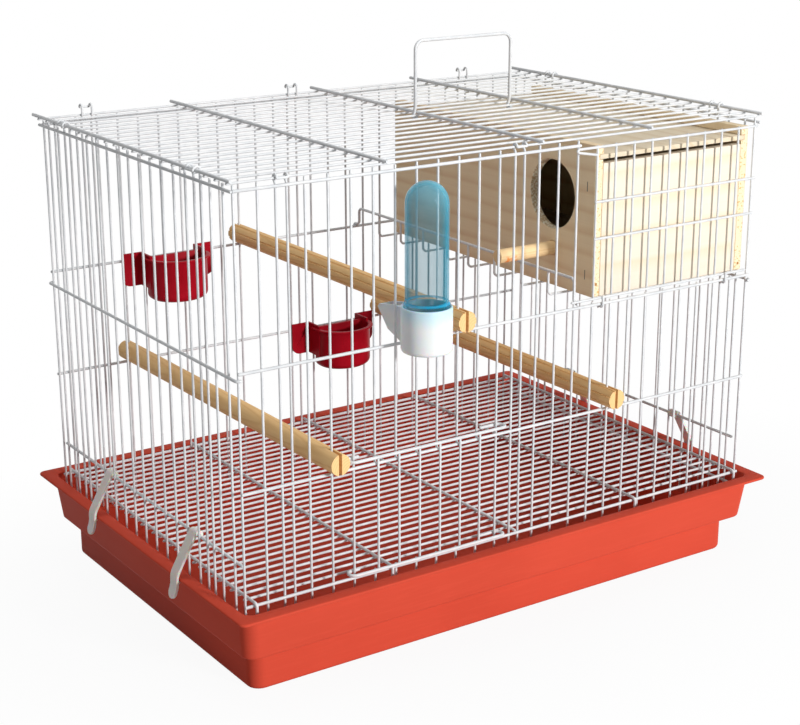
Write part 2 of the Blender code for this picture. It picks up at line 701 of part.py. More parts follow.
def build_tray():
    """Tray: one skin from the underside up the stepped outside, over the rim and down inside."""
    wall = TRAY_WALL
    band = TRAY_BAND_CORNER
    inner = band - wall
    step = TRAY_STEP_Z
    top = TRAY_HEIGHT
    round_in = TRAY_EDGE * (1 - math.cos(math.radians(45)))
    rings = [
        rounded_rectangle(TRAY_LOWER_HALF, TRAY_EDGE, band - TRAY_EDGE, 0.0),
        rounded_rectangle(TRAY_LOWER_HALF, round_in, band - round_in, round_in),
        rounded_rectangle(TRAY_LOWER_HALF, 0.0, band, TRAY_EDGE),
        rounded_rectangle(TRAY_LOWER_HALF, 0.0, band, step),
        rounded_rectangle(TRAY_UPPER_FOOT_HALF, wall, band, step),
        rounded_rectangle(TRAY_UPPER_FOOT_HALF, 0.0, band, step + wall),
        rounded_rectangle(TRAY_UPPER_TOP_HALF, 0.0, band, top - wall),
        rounded_rectangle(TRAY_RIM_HALF, 0.4 * wall, TRAY_RIM_CORNER, top - wall),
        rounded_rectangle(TRAY_RIM_HALF, 0.0, TRAY_RIM_CORNER, top - 0.6 * wall),
        rounded_rectangle(TRAY_RIM_HALF, 0.0, TRAY_RIM_CORNER, top - 0.3 * wall),
        rounded_rectangle(TRAY_RIM_HALF, 0.3 * wall, TRAY_RIM_CORNER, top),
        rounded_rectangle(TRAY_UPPER_TOP_HALF, 0.4 * wall, inner, top),
        rounded_rectangle(TRAY_UPPER_TOP_HALF, wall, inner, top - 0.6 * wall),
        rounded_rectangle(TRAY_UPPER_FOOT_HALF, wall, inner, step + wall),
        rounded_rectangle(TRAY_LOWER_HALF, wall, inner, step + wall),
        rounded_rectangle(TRAY_LOWER_HALF, wall, inner, TRAY_EDGE + wall / 2),
        rounded_rectangle(TRAY_LOWER_HALF, TRAY_EDGE + wall / 2, inner / 2, wall),
    ]
    return loft("tray", rings)


def build_nest_boards():
    """The nest box: two grooved sides, front, back, floor, lid and perch peg."""
    x0, y0, z0 = NEST_LOW
    x1, y1, z1 = NEST_HIGH
    board = NEST_BOARD
    lid_top = z1 - NEST_LID_DROP
    lid_low = lid_top - NEST_LID
    inner_low = x0 + board + GAP
    inner_high = x1 - board - GAP
    pieces = {}
    for name, low, high, groove in (
        ("nest_left_side", x0, x0 + board, x0 + board - LID_GROOVE),
        ("nest_right_side", x1 - board, x1, x1 - board + LID_GROOVE),
    ):
        side = box(name, (low, y0, z0), (high, y1, z1))
        inside = high + board if low == x0 else low - board
        slot = box(
            name + "_groove",
            (min(groove, inside), y0 - board, lid_low - GAP),
            (max(groove, inside), y1 + board, lid_top + GAP),
        )
        pieces[name] = combine(side, slot, "DIFFERENCE")
    left = pieces["nest_left_side"]
    for name, y, z, radius, sides in (
        ("entrance", NEST_HOLE_Y, NEST_HOLE_Z, NEST_HOLE_R, 32),
        ("peg_hole", PEG_Y, PEG_Z, PEG_R + GAP, 16),
    ):
        bore = rod(name, (x0 - board, y, z), (x0 + 2 * board, y, z), radius, sides)
        combine(left, bore, "DIFFERENCE")
    front_top = lid_low - NEST_SLOT
    pieces["nest_front_board"] = box("nest_front_board", (inner_low, y0, z0), (inner_high, y0 + board, front_top))
    pieces["nest_back_board"] = box("nest_back_board", (inner_low, y1 - board, z0), (inner_high, y1, lid_low - GAP))
    pieces["nest_floor"] = box(
        "nest_floor",
        (inner_low, y0 + board + GAP, z0),
        (inner_high, y1 - board - GAP, z0 + board),
    )
    lid_low_x = x0 + board - LID_GROOVE + GAP
    lid_high_x = x1 - board + LID_GROOVE - GAP
    pieces["nest_lid"] = box("nest_lid", (lid_low_x, y0, lid_low), (lid_high_x, y1, lid_top))
    pieces["nest_peg"] = rod("nest_peg", (x0 - PEG_OUT, PEG_Y, PEG_Z), (x0 + board, PEG_Y, PEG_Z), PEG_R, 16)
    return pieces


def fluted_outline(radius):
    """A round section with narrow V grooves cut along it."""
    points = []
    half = PERCH_FLUTE_WIDTH / radius / 2
    for i in range(PERCH_FLUTES):
        middle = 2 * math.pi * (i + 0.5) / PERCH_FLUTES
        crown = middle + math.pi / PERCH_FLUTES
        groove = ((middle - half, radius), (middle, radius - PERCH_FLUTE_DEPTH), (middle + half, radius))
        for angle, r in (*groove, (crown, radius)):
            points.append((r * math.cos(angle), r * math.sin(angle)))
    return points


def build_perch(name, front_x, back_x, front_rail_z, back_rail_z, fluted):
    """A dowel laid over a front and a back rail, slotted at each end over an upright wire."""
    lift = RAIL_R + GAP + PERCH_R
    start = Vector((front_x, -CAGE_HALF_Y, front_rail_z + lift))
    end = Vector((back_x, CAGE_HALF_Y, back_rail_z + lift))
    along = (end - start).normalized()
    tip = start - along * PERCH_PROUD[0]
    heel = end + along * PERCH_PROUD[1]
    if fluted:
        turn = along.to_track_quat("Z", "Y").to_matrix().to_4x4()
        placed = Matrix.Translation((tip + heel) / 2) @ turn
        perch = plate(name, fluted_outline(PERCH_R), (heel - tip).length, placed)
    else:
        perch = rod(name, tip, heel, PERCH_R, 20)
    for end_point, wire_x, side in ((tip, front_x, -1), (heel, back_x, 1)):
        wire_y = side * CAGE_HALF_Y
        deep = wire_y - side * (PERCH_KERF_DEPTH - PERCH_PROUD[0])
        outer = end_point.y + side * PERCH_R
        low = (wire_x - PERCH_KERF / 2, min(deep, outer), end_point.z - 2 * PERCH_R)
        high = (wire_x + PERCH_KERF / 2, max(deep, outer), end_point.z + 2 * PERCH_R)
        combine(perch, box(name + "_kerf", low, high), "DIFFERENCE")
    return perch


def cup_ring(centre_x, offset, z):
    """The D-shaped plan of a cup, grown or shrunk by an offset."""
    half = CUP_HALF_X + offset
    back = CUP_EAR_Y - CUP_BACK + offset
    shoulder = CUP_EAR_Y - CUP_STRAIGHT
    nose = CUP_DEPTH - CUP_STRAIGHT + offset
    ring = [(centre_x - half, back)]
    for i in range(CUP_ARC_STEPS + 1):
        angle = math.pi * (1 + i / CUP_ARC_STEPS)
        ring.append((centre_x + half * math.cos(angle), shoulder + nose * math.sin(angle)))
    ring.append((centre_x + half, back))
    return [(x, y, z) for x, y in ring]


def ear_outline(inner, outer, height):
    """A flat ear with its outer lower corner rounded, from its top edge down."""
    corner = arc((outer - CUP_EAR_CORNER, CUP_EAR_CORNER - height), CUP_EAR_CORNER, 0, -90, 4)
    return [(inner, 0.0), (outer, 0.0), *corner, (inner, -height)]


def build_cup(name, centre_x, rail_z):
    """A feeder cup: a D-shaped bowl held by two ears that hook over a back rail."""
    rim = rail_z + CUP_RIM_OVER_RAIL
    foot = rim - CUP_HEIGHT
    wall = CUP_WALL
    rings = [
        cup_ring(centre_x, -5 * wall, foot),
        cup_ring(centre_x, -2 * wall, foot + wall),
        cup_ring(centre_x, -wall / 2, foot + 4 * wall),
        cup_ring(centre_x, 0.0, rim - wall),
        cup_ring(centre_x, CUP_LIP, rim - wall),
        cup_ring(centre_x, CUP_LIP, rim),
        cup_ring(centre_x, -wall, rim),
        cup_ring(centre_x, -1.5 * wall, foot + 4 * wall),
        cup_ring(centre_x, -3 * wall, foot + 2 * wall),
        cup_ring(centre_x, -6 * wall, foot + wall),
    ]
    cup = loft(name, rings)
    top = rim + CUP_EAR_RISE
    bottom = top - CUP_EAR_HEIGHT
    web_in = CUP_HALF_X - 0.9 * wall
    web_out = CUP_HALF_X + 0.4 * wall
    for side in (-1, 1):
        low_x, high_x = sorted((centre_x + side * web_in, centre_x + side * web_out))
        web = box(name + "_web", (low_x, CUP_EAR_Y - CUP_STRAIGHT - wall, bottom), (high_x, CUP_EAR_Y, top))
        combine(cup, web, "UNION")
        matrix = Matrix.Translation((centre_x, CUP_EAR_Y - wall / 2, top)) @ Matrix.Rotation(math.radians(90), 4, "X")
        outline = [(side * a, b) for a, b in ear_outline(web_in + 0.2 * wall, CUP_EAR_HALF_X, CUP_EAR_HEIGHT)]
        combine(cup, plate(name + "_ear", outline, 0.9 * wall, matrix), "UNION")
        hook_x = centre_x + side * CUP_HOOK_X
        hook_low = rail_z + RAIL_R + GAP
        leg_near = RAIL_Y + RAIL_R + 2 * GAP
        leg_far = leg_near + wall
        half = CUP_HOOK_WIDTH / 2
        arm = box(name + "_arm", (hook_x - half, CUP_EAR_Y - wall / 2, hook_low), (hook_x + half, leg_far, hook_low + wall))
        leg = box(
            name + "_leg",
            (hook_x - half, leg_near, hook_low + wall - CUP_HOOK_LEG),
            (hook_x + half, leg_far + 0.1 * wall, hook_low + 0.8 * wall),
        )
        combine(arm, leg, "UNION")
        combine(cup, arm, "UNION")
    return cup


def build_drinker_tube():
    """Drinking tube: closed dome above, open foot below, with a ring where it sits."""
    wall = TUBE_WALL
    dome_z = TUBE_TOP_Z - TUBE_R
    outer = arc((0.0, dome_z), TUBE_R, 90, 0, 5)
    inner_r = TUBE_R - wall
    inner = arc((0.0, dome_z), inner_r, 0, 90, 4)
    ring_low, ring_high = TUBE_RING_Z
    edge = 1.2 * MM
    ring = [
        (TUBE_R, ring_high + edge),
        (TUBE_RING_R, ring_high - edge),
        (TUBE_RING_R, ring_low),
        (TUBE_R, ring_low - edge),
    ]
    profile = [*outer, *ring, (TUBE_R, TUBE_FOOT_Z), (inner_r, TUBE_FOOT_Z), *inner]
    return turned("drinker_tube", profile, (DRINKER_X, DRINKER_Y), 18)


def build_drinker_base():
    """Drinker base: a round socket for the tube, with a trough through the front panel."""
    low, high = DRINKER_BASE_Z
    wall = DRINKER_WALL
    centre = (DRINKER_X, DRINKER_Y)
    shell = [
        (0.0, high),
        (DRINKER_BASE_R - 0.5 * wall, high),
        (DRINKER_BASE_R, high - 0.5 * wall),
        (DRINKER_BASE_R, low + 2 * wall),
        (DRINKER_BASE_R - 2 * wall, low),
        (0.0, low),
    ]
    base = turned("drinker_base", shell, centre, 24)
    spout = [
        (DRINKER_Y, TROUGH_FLOOR_Z),
        (-RAIL_Y, TROUGH_FLOOR_Z),
        (TROUGH_FOOT_Y, TROUGH_FLOOR_Z + 6.0 * MM),
        (TROUGH_TIP_Y, TROUGH_TOP_Z - 6.0 * MM),
        (TROUGH_TIP_Y - 2.0 * MM, TROUGH_TOP_Z - 3.5 * MM),
        (-CAGE_HALF_Y + 8.0 * MM, TROUGH_TOP_Z),
        (DRINKER_Y, TROUGH_TOP_Z),
    ]
    upright = Matrix(((0, 0, 1, TROUGH_X), (1, 0, 0, 0), (0, 1, 0, 0), (0, 0, 0, 1)))
    combine(base, plate("trough", spout, 2 * TROUGH_HALF_X, upright), "UNION")
    bore_r = TUBE_RING_R + 2 * GAP
    seat_r = TUBE_R + 1.5 * GAP
    seat_z = TUBE_RING_Z[0]
    socket = [
        (0.0, high + 4 * wall),
        (bore_r, high + 4 * wall),
        (bore_r, seat_z),
        (seat_r, seat_z - wall),
        (seat_r, low + 3 * wall),
        (seat_r - wall, low + 1.6 * wall),
        (0.0, low + 1.6 * wall),
    ]
    combine(base, turned("socket", socket, centre, 24), "DIFFERENCE")
    hollow = [
        (DRINKER_Y + 10.0 * MM, TROUGH_FLOOR_Z + wall),
        (-RAIL_Y + wall, TROUGH_FLOOR_Z + wall),
        (TROUGH_FOOT_Y - 0.6 * wall, TROUGH_FLOOR_Z + 6.0 * MM + wall),
        (TROUGH_TIP_Y - 1.4 * wall, TROUGH_TOP_Z - 6.0 * MM),
        (TROUGH_TIP_Y - 1.4 * wall, TROUGH_TOP_Z + 6.0 * MM),
        (-CAGE_HALF_Y + 4.0 * MM, TROUGH_TOP_Z + 6.0 * MM),
        (-CAGE_HALF_Y + 4.0 * MM, TROUGH_TOP_Z - 6.0 * MM),
        (DRINKER_Y + 10.0 * MM, TROUGH_TOP_Z - 6.0 * MM),
    ]
    combine(base, plate("channel", hollow, 2 * (TROUGH_HALF_X - wall), upright), "DIFFERENCE")
    return base


def strip_outline(line, thickness):
    """Both edges of a bent strip that follows a centre line."""
    near = []
    far = []
    for i, point in enumerate(line):
        before = Vector(line[max(i - 1, 0)])
        after = Vector(line[min(i + 1, len(line) - 1)])
        along = (after - before).normalized()
        side = Vector((-along.y, along.x)) * thickness / 2
        near.append(tuple(Vector(point) + side))
        far.append(tuple(Vector(point) - side))
    return near + far[::-1]


def build_clip(name, side, y):
    """A tray clip: a ring on the lower side rail, an arm over the rim, a nib under it and a tail."""
    ring = arc((SIDE_INNER_RAIL_X, SIDE_LOWER_Z), CLIP_RING_R, 215, 30, 7)
    edge_x = TRAY_RIM_HALF[0] + CLIP_RIM_CLEAR + CLIP_THICK / 2
    rim_low = TRAY_HEIGHT - TRAY_WALL
    line = ring + [
        (edge_x - 1.6 * MM, TRAY_HEIGHT + 5.5 * MM),
        (edge_x - 0.3 * MM, TRAY_HEIGHT + 2.0 * MM),
        (edge_x, TRAY_HEIGHT - 1.5 * MM),
        (edge_x, rim_low - 3.0 * MM),
        (edge_x + 0.25 * CLIP_TAIL_FLARE, rim_low - 6.5 * MM),
        (edge_x + CLIP_TAIL_FLARE, CLIP_TAIL_Z),
    ]
    outline = strip_outline(line, CLIP_THICK)
    turn = Matrix(((side, 0, 0, 0), (0, 0, 1, y), (0, 1, 0, 0), (0, 0, 0, 1)))
    clip = plate(name, outline, CLIP_WIDTH, turn)
    nib_x = edge_x - CLIP_THICK / 2
    nib_z = rim_low - 0.7 * MM
    nib = [
        (nib_x + CLIP_THICK / 2, nib_z + 0.2 * MM),
        (nib_x - CLIP_NIB, nib_z),
        (nib_x - CLIP_NIB + 0.3 * MM, nib_z - 0.6 * MM),
        (nib_x + CLIP_THICK / 2, nib_z - 2.4 * MM),
    ]
    return combine(clip, plate(name + "_nib", nib, 0.8 * CLIP_WIDTH, turn), "UNION")


def main():
    """Build every piece and put it in the model's collection."""
    clear_scene()
    white = paint("white_coated_wire", (0.86, 0.87, 0.87), 0.3)
    red = paint("red_tray", (0.62, 0.035, 0.02), 0.2)
    crimson = paint("crimson_cup", (0.35, 0.008, 0.015), 0.3)
    pine = paint("pine", (0.72, 0.52, 0.3), 0.65)
    dowel = paint("dowel", (0.62, 0.4, 0.2), 0.6)
    milky = paint("milky_plastic", (0.75, 0.76, 0.75), 0.35)
    blue = paint("blue_clear_plastic", (0.25, 0.6, 0.8), 0.1, alpha=0.5)
    hinge_y = -RAIL_Y

    finish(build_tray(), red)
    finish(build_floor_grate(), white)
    finish(build_front_panel(), white)
    finish(build_back_panel(), white)
    finish(build_side_panel("left_panel", -1), white)
    finish(build_side_panel("right_panel", 1), white)
    finish(build_roof_panel(), white)
    finish(build_nest_rack(), white)

    guides = [front_wire_x()[i] for i in DOOR_GUIDES]
    finish(build_front_door(), white, (sum(guides) / 2, DOOR_WIRE_Y, DOOR_LOW_Z))
    finish(build_nest_door(), white, (sum(KNUCKLE_X) / 2, hinge_y, FRONT_MID_Z))
    finish(build_carry_handle(), white, (sum(HANDLE_FEET_X) / 2, 0.0, ROOF_WIRE_Z))

    boards = build_nest_boards()
    for name, board in boards.items():
        pivot = (NEST_LOW[0], NEST_HIGH[1], NEST_HIGH[2]) if name == "nest_lid" else None
        finish(board, dowel if name == "nest_peg" else pine, pivot)

    spots = front_wire_x()
    half = WIRE_PITCH / 2
    for name, i, front_z, back_z, fluted in (
        ("perch_upper", 10, FRONT_MID_Z, BACK_MID_Z, True),
        ("perch_lower_left", 4, FRONT_LOWER_Z, BACK_LOWER_Z, False),
        ("perch_lower_right", 18, FRONT_LOWER_Z, BACK_LOWER_Z, True),
    ):
        finish(build_perch(name, spots[i], spots[i] - half, front_z, back_z, fluted), dowel)

    for name, x, rail_z in (
        ("feeder_cup_upper", CUP_UPPER_X, BACK_MID_Z),
        ("feeder_cup_lower", CUP_LOWER_X, BACK_LOWER_Z),
    ):
        finish(build_cup(name, x, rail_z), crimson, (x, RAIL_Y, rail_z))

    finish(build_drinker_tube(), blue, (DRINKER_X, DRINKER_Y, TUBE_FOOT_Z))
    finish(build_drinker_base(), milky)

    own = side_wire_y()
    for word, side in (("left", -1), ("right", 1)):
        for place_word, cell in zip(("front", "rear"), CLIP_CELLS):
            y = (own[cell] + own[cell + 1]) / 2
            pivot = (side * SIDE_INNER_RAIL_X, y, SIDE_LOWER_Z)
            finish(build_clip("tray_clip_" + word + "_" + place_word, side, y), milky, pivot)


main()
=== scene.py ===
"""Looks of a bird breeding cage: round coated wire, moulded plastic and bare pine, in a
white studio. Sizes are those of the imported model, in metres."""
import math

import bmesh
import bpy
from mathutils import Matrix, Vector


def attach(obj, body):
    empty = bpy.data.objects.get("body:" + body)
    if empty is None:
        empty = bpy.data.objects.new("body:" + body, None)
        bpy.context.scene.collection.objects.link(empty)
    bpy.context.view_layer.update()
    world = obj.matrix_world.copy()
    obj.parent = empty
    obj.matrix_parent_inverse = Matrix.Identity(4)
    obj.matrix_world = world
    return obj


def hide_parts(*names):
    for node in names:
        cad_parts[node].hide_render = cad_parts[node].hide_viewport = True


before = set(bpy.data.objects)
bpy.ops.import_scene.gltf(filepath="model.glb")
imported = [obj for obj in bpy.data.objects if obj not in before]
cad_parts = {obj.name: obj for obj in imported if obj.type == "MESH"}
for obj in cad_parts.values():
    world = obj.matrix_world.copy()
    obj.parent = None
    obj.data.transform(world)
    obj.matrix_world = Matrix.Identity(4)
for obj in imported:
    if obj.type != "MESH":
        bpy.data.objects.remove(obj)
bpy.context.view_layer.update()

MM = 0.001

# Wire sizes and the bite of a weld
WIRE_R = 1.0 * MM
RAIL_R = 1.3 * MM
ROOF_RAIL_R = 1.45 * MM
GRATE_WIRE_R = 1.1 * MM
DOOR_RAIL_R = 1.4 * MM
NEST_DOOR_RAIL_R = 1.1 * MM
HANDLE_R = 1.5 * MM
WELD_BITE = 0.25 * MM
GAP = 0.35 * MM
FLAT_R = math.cos(math.radians(30))
UPRIGHT_BEND = 2 * WIRE_R

# Bent wire: the most of a leg that a bend takes, and the cut ends' taper in radii with the
# share of thickness left at the tip
BEND_SHARE = 0.48
CUT_TAPER = 0.45
CUT_TIP = 0.72

# Cage body
CAGE_HALF_X = 260.0 * MM
CAGE_HALF_Y = 170.5 * MM
SIDE_STAND_OFF = 0.9 * MM
WIRE_PITCH = 20.0 * MM
RAIL_OVERRUN = 1.3 * MM
FEET_Z = 37.35 * MM
PANEL_TOP_Z = 407.6 * MM
TOP_RAIL_Z = 403.5 * MM
BASE_RAIL_Z = 77.0 * MM
FRONT_MID_Z = 266.0 * MM
FRONT_LOWER_Z = 170.5 * MM
BACK_MID_Z = 271.0 * MM
BACK_LOWER_Z = 175.0 * MM
SIDE_MID_Z = 261.0 * MM
SIDE_LOWER_Z = 109.4 * MM
SIDE_FOOT_RAIL_Z = 64.0 * MM
SIDE_FIRST_WIRE = 13.0 * MM
SIDE_WIRES = 17
SIDE_LOOP_WIRES = (2, 14)
FRONT_LOOP_X = (-220.0 * MM, 0.0)
BACK_LOOP_X = (-220.0 * MM, -10.0 * MM, 190.0 * MM)
LOOP_HALF_X = 4.7 * MM
SIDE_LOOP_HALF = 5.5 * MM
BACK_LOOP_RISE = 6.5 * MM
LOOP_JOG = 1.3 * RAIL_R
DOORWAY_SILL_STUB = 1.7 * RAIL_R
DOORWAY_HEAD_STUB = 1.3 * RAIL_R
NEST_SILL_STUB = 1.5 * RAIL_R

# Tray
TRAY_RIM_HALF = (277.5 * MM, 196.0 * MM)
TRAY_UPPER_TOP_HALF = (268.5 * MM, 185.5 * MM)
TRAY_UPPER_FOOT_HALF = (265.0 * MM, 181.0 * MM)
TRAY_LOWER_HALF = (254.0 * MM, 168.5 * MM)
TRAY_HEIGHT = 75.5 * MM
TRAY_STEP_Z = 34.5 * MM
TRAY_WALL = 2.5 * MM
TRAY_BAND_CORNER = 12.0 * MM
TRAY_RIM_CORNER = 6.0 * MM
TRAY_FOOT_ROUND = 4.0 * MM
TRAY_UNDER_STEP = 1.4 * MM
TRAY_UNDER_RIM = 1.8 * MM
TRAY_MOUTH = 1.4 * MM
TRAY_LEDGE_INNER = 1.0 * MM
TRAY_LEDGE_EDGE = 0.9 * MM
TRAY_LEAST_CORNER = 0.6 * MM

# Floor grate
GRATE_WIRES = 31
GRATE_HALF_Y = 160.0 * MM
GRATE_RAIL_X = (-253.0 * MM, -127.0 * MM, 0.0, 133.0 * MM, 254.0 * MM)
GRATE_HOOKED = (0, 1, 3, 4)
GRATE_OVERRUN = 3.0 * MM
GRATE_LEG = 18.0 * MM
GRATE_HOOK_SLACK = 1.05 * MM

# Roof grille
ROOF_WIRES = 21
ROOF_HALF_Y = 170.2 * MM
ROOF_WIRE_Z = 409.0 * MM
ROOF_RAIL_X = (-264.0 * MM, -130.0 * MM, 20.0 * MM, 136.0 * MM, 264.0 * MM)
ROOF_FRONT_OVERRUN = 4.8 * MM
ROOF_BACK_OVERRUN = 13.8 * MM

# Sliding door
DOOR_GUIDES = (5, 12)
DOOR_HEIGHT = 96.5 * MM
DOOR_RETURNS = (8.0 * MM, 16.0 * MM)
DOOR_BEND = 0.2 * MM

# Nest door
NEST_DOOR_JAMB = 16
NEST_DOOR_TOP_Z = 400.5 * MM
NEST_DOOR_BARS_Z = (323.0 * MM, 354.5 * MM)
NEST_DOOR_SILL_Z = 271.5 * MM
NEST_DOOR_LEFT = 55.0 * MM
NEST_DOOR_SILL_RIGHT = 255.8 * MM
KNUCKLE_X = (88.0 * MM, 230.0 * MM)
KNUCKLE_STEM = (1.5 * WIRE_R, 2 * WIRE_R)
KNUCKLE_TURN = (180, 310)
KNUCKLE_TAIL = 3.0 * MM
KNUCKLE_BEND = 0.5 * MM
NEST_DOOR_BEND = 0.6 * MM
NEST_DOOR_SHY = 0.3 * MM
NEST_BAR_STUB = 1.2 * WIRE_R
LATCH_REACH = 3.0 * MM
LATCH_DROP = 2.7 * MM
LATCH_RETURN_X = 78.0 * MM
LATCH_RETURN_FALL = 3.6 * MM

# Carry handle, whose straight legs start at a neck so many hook radii above the roof wire
HANDLE_FEET_X = (16.0 * MM, 120.0 * MM)
HANDLE_TOP_Z = 474.0 * MM
HANDLE_CORNER = 8.0 * MM
HANDLE_HOOK_TURN = (-160, 45)
HANDLE_NECK = 2.6
HANDLE_BEND = 2.0 * MM

# Nest box and its rack
NEST_LOW = (84.0 * MM, -165.0 * MM, 269.9 * MM)
NEST_HIGH = (258.0 * MM, 133.0 * MM, 400.0 * MM)
NEST_BOARD = 8.0 * MM
BOARD_EDGE = 0.5 * MM
NEST_LID_DROP = 8.0 * MM
NEST_LID = 4.0 * MM
NEST_SLOT = 3.6 * MM
LID_GROOVE = 4.0 * MM
NEST_HOLE_R = 30.0 * MM
NEST_HOLE_Y = -109.0 * MM
NEST_HOLE_Z = 350.0 * MM
PEG_R = 6.0 * MM
PEG_EDGE = 0.7 * MM
PEG_OUT = 60.0 * MM
PEG_Y = -111.0 * MM
PEG_Z = 303.0 * MM
NEST_STAPLE_Y = -155.0 * MM
NEST_STAPLE_Z = (288.0 * MM, 364.0 * MM)
NEST_STAPLE_HALF = (0.6 * MM, 0.4 * MM, 4.0 * MM)
NEST_NAILS = ((88.2 * MM, 281.0 * MM), (254.5 * MM, 276.0 * MM))
NEST_NAIL_HALF = (1.1 * MM, 0.6 * MM, 1.1 * MM)
RACK_ROD_X = 63.2 * MM
RACK_ROD_Z = 290.0 * MM
RACK_WIRES = 8
RACK_FIRST_Y = -132.0 * MM
RACK_LAST_Y = 130.5 * MM
RACK_WIRE_CLEAR = 3.3 * MM

# Perches
PERCH_R = 8.8 * MM
PERCH_KERF = 2.8 * MM
PERCH_KERF_DEPTH = 15.0 * MM
PERCH_FLUTES = 8
PERCH_FLUTE_DEPTH = 1.0 * MM
PERCH_FLUTE_WIDTH = 1.6 * MM
PERCH_PROUD = (13.0 * MM, 6.0 * MM)
PERCH_EDGE = 0.35 * MM

# Feeder cups
CUP_HALF_X = 28.0 * MM
CUP_BACK = 12.0 * MM
CUP_STRAIGHT = 20.0 * MM
CUP_DEPTH = 44.0 * MM
CUP_HEIGHT = 40.0 * MM
CUP_WALL = 1.6 * MM
CUP_LIP = 3.0 * MM
CUP_LIP_FILLET = (0.5 * MM, 0.8 * MM)
CUP_MOUTH = 0.6 * MM
CUP_FLOOR_INSET = 7 * CUP_WALL
CUP_FOOT_ROUND = (4.5 * CUP_WALL, 4 * CUP_WALL)
CUP_BACK_CORNER = 1.5 * MM
CUP_NOSE_STEPS = 36
CUP_EDGE = 0.35 * MM
CUP_EAR_HALF_X = 47.0 * MM
CUP_EAR_HEIGHT = 31.0 * MM
CUP_EAR_RISE = 3.0 * MM
CUP_EAR_CORNER = 8.0 * MM
CUP_HOOK_X = 33.0 * MM
CUP_HOOK_WIDTH = 3.0 * MM
CUP_HOOK_LEG = 7.0 * MM
CUP_RIM_OVER_RAIL = 4.4 * MM
CUP_UPPER_X = -147.0 * MM
CUP_LOWER_X = 31.5 * MM

# Drinker
DRINKER_X = -107.0 * MM
DRINKER_Y = -194.6 * MM
DRINKER_BASE_R = 20.3 * MM
DRINKER_BASE_Z = (263.5 * MM, 300.0 * MM)
DRINKER_WALL = 1.6 * MM
TUBE_R = 17.0 * MM
TUBE_WALL = 1.3 * MM
TUBE_FOOT_Z = 271.0 * MM
TUBE_TOP_Z = 397.6 * MM
TUBE_RING_R = 18.3 * MM
TUBE_RING_Z = (291.0 * MM, 303.0 * MM)
TUBE_RING_EDGE = 0.3 * MM
TUBE_RING_SLOPE = 1.2 * MM
DRINKER_STEPS = 64
DRINKER_EDGE = 0.3 * MM
TROUGH_X = -110.0 * MM
TROUGH_HALF_X = 7.0 * MM
TROUGH_TIP_Y = -141.0 * MM
TROUGH_FOOT_Y = -155.0 * MM
TROUGH_TOP_Z = 295.0 * MM
TROUGH_RISE = 6.0 * MM
TROUGH_LIP = (2.0 * MM, 3.5 * MM)
TROUGH_BRIM_Y = -CAGE_HALF_Y + 8.0 * MM
TROUGH_COVER_Y = -CAGE_HALF_Y + 4.0 * MM
TROUGH_THROAT_Y = DRINKER_Y + 10.0 * MM

# Tray clips
CLIP_WIDTH = 11.0 * MM
CLIP_THICK = 2.2 * MM
CLIP_CELLS = (3, 11)
CLIP_RIM_CLEAR = 1.0 * MM
CLIP_NIB = 1.9 * MM
CLIP_TAIL_Z = 59.0 * MM
CLIP_TAIL_FLARE = 3.5 * MM
CLIP_RING_SLACK = 0.45 * MM
CLIP_RING_TURN = (215, 30)
CLIP_BEND = 3.0 * MM
CLIP_EDGE = 0.4 * MM

# The square of the share of a clip's width that is left at its rounded tip
CLIP_TIP = 0.06

# Clip's bends: inwards of its outer line and above the tray's top, then below the rim
CLIP_SHOULDER = ((1.6 * MM, 5.5 * MM), (0.3 * MM, 2.0 * MM), (0.0, -1.5 * MM))
CLIP_HEEL = (3.0 * MM, 6.5 * MM)

# Clip's nib: its gap under the rim, its slope, the cut of its nose and its depth
NIB_TOP = 0.7 * MM
NIB_SLOPE = 0.2 * MM
NIB_NOSE = (0.3 * MM, 0.6 * MM)
NIB_DEPTH = 2.4 * MM

# Camera, as the photograph was taken
CAMERA_SPOT = (-0.8343, -1.2358, 0.6543)
CAMERA_HEADING = math.radians(34.03)
CAMERA_DIP = math.radians(17.49)
CAMERA_ROLL = math.radians(0.09)
CAMERA_LENS = 77.08
CAMERA_SENSOR = 36.0
CAMERA_NEAR = 50.0 * MM

# Studio: the floor, the white that the eye sees of it near the object and away from it,
# the fill, and the lamps as name, place, aim, size and watts
FLOOR_GREY = 0.62
FLOOR_HALF = 6.0
FLOOR_DROP = 0.2 * MM
WHITE_SHARE = (0.94, 1.0)
WHITE_REACH = (0.20, 0.42)
WHITE_SQUEEZE = (0.7, 1.0, 0.0)
FILL = 0.18
LAMPS = (
    ("key", (1.2, -4.7, 1.5), (0.0, -0.05, 0.22), 0.7, 228.0),
    ("top", (-0.3, 0.1, 2.4), (0.0, 0.0, 0.3), 1.4, 15.0),
)

# Places worked out from the sizes above
WELD_STEP = WIRE_R + RAIL_R - WELD_BITE
RAIL_Y = CAGE_HALF_Y + WELD_STEP
SIDE_X = CAGE_HALF_X + SIDE_STAND_OFF
SIDE_RAIL_X = SIDE_X + WELD_STEP
SIDE_INNER_RAIL_X = SIDE_X - WELD_STEP
GRATE_RAIL_Z = BASE_RAIL_Z + RAIL_R * FLAT_R + GAP + RAIL_R
GRATE_WIRE_Z = GRATE_RAIL_Z - (GRATE_WIRE_R + RAIL_R - WELD_BITE)
GRATE_HOOK_Y = RAIL_Y + 2 * RAIL_R + GRATE_HOOK_SLACK
ROOF_RAIL_Z = ROOF_WIRE_Z + WIRE_R + ROOF_RAIL_R - WELD_BITE
DOOR_WIRE_Y = -(RAIL_Y + RAIL_R + WIRE_R + 2 * GAP)
DOOR_RAIL_Y = DOOR_WIRE_Y - (WIRE_R + DOOR_RAIL_R - WELD_BITE)
DOOR_RETURN_Y = -(CAGE_HALF_Y - WIRE_R - DOOR_RAIL_R - GAP)
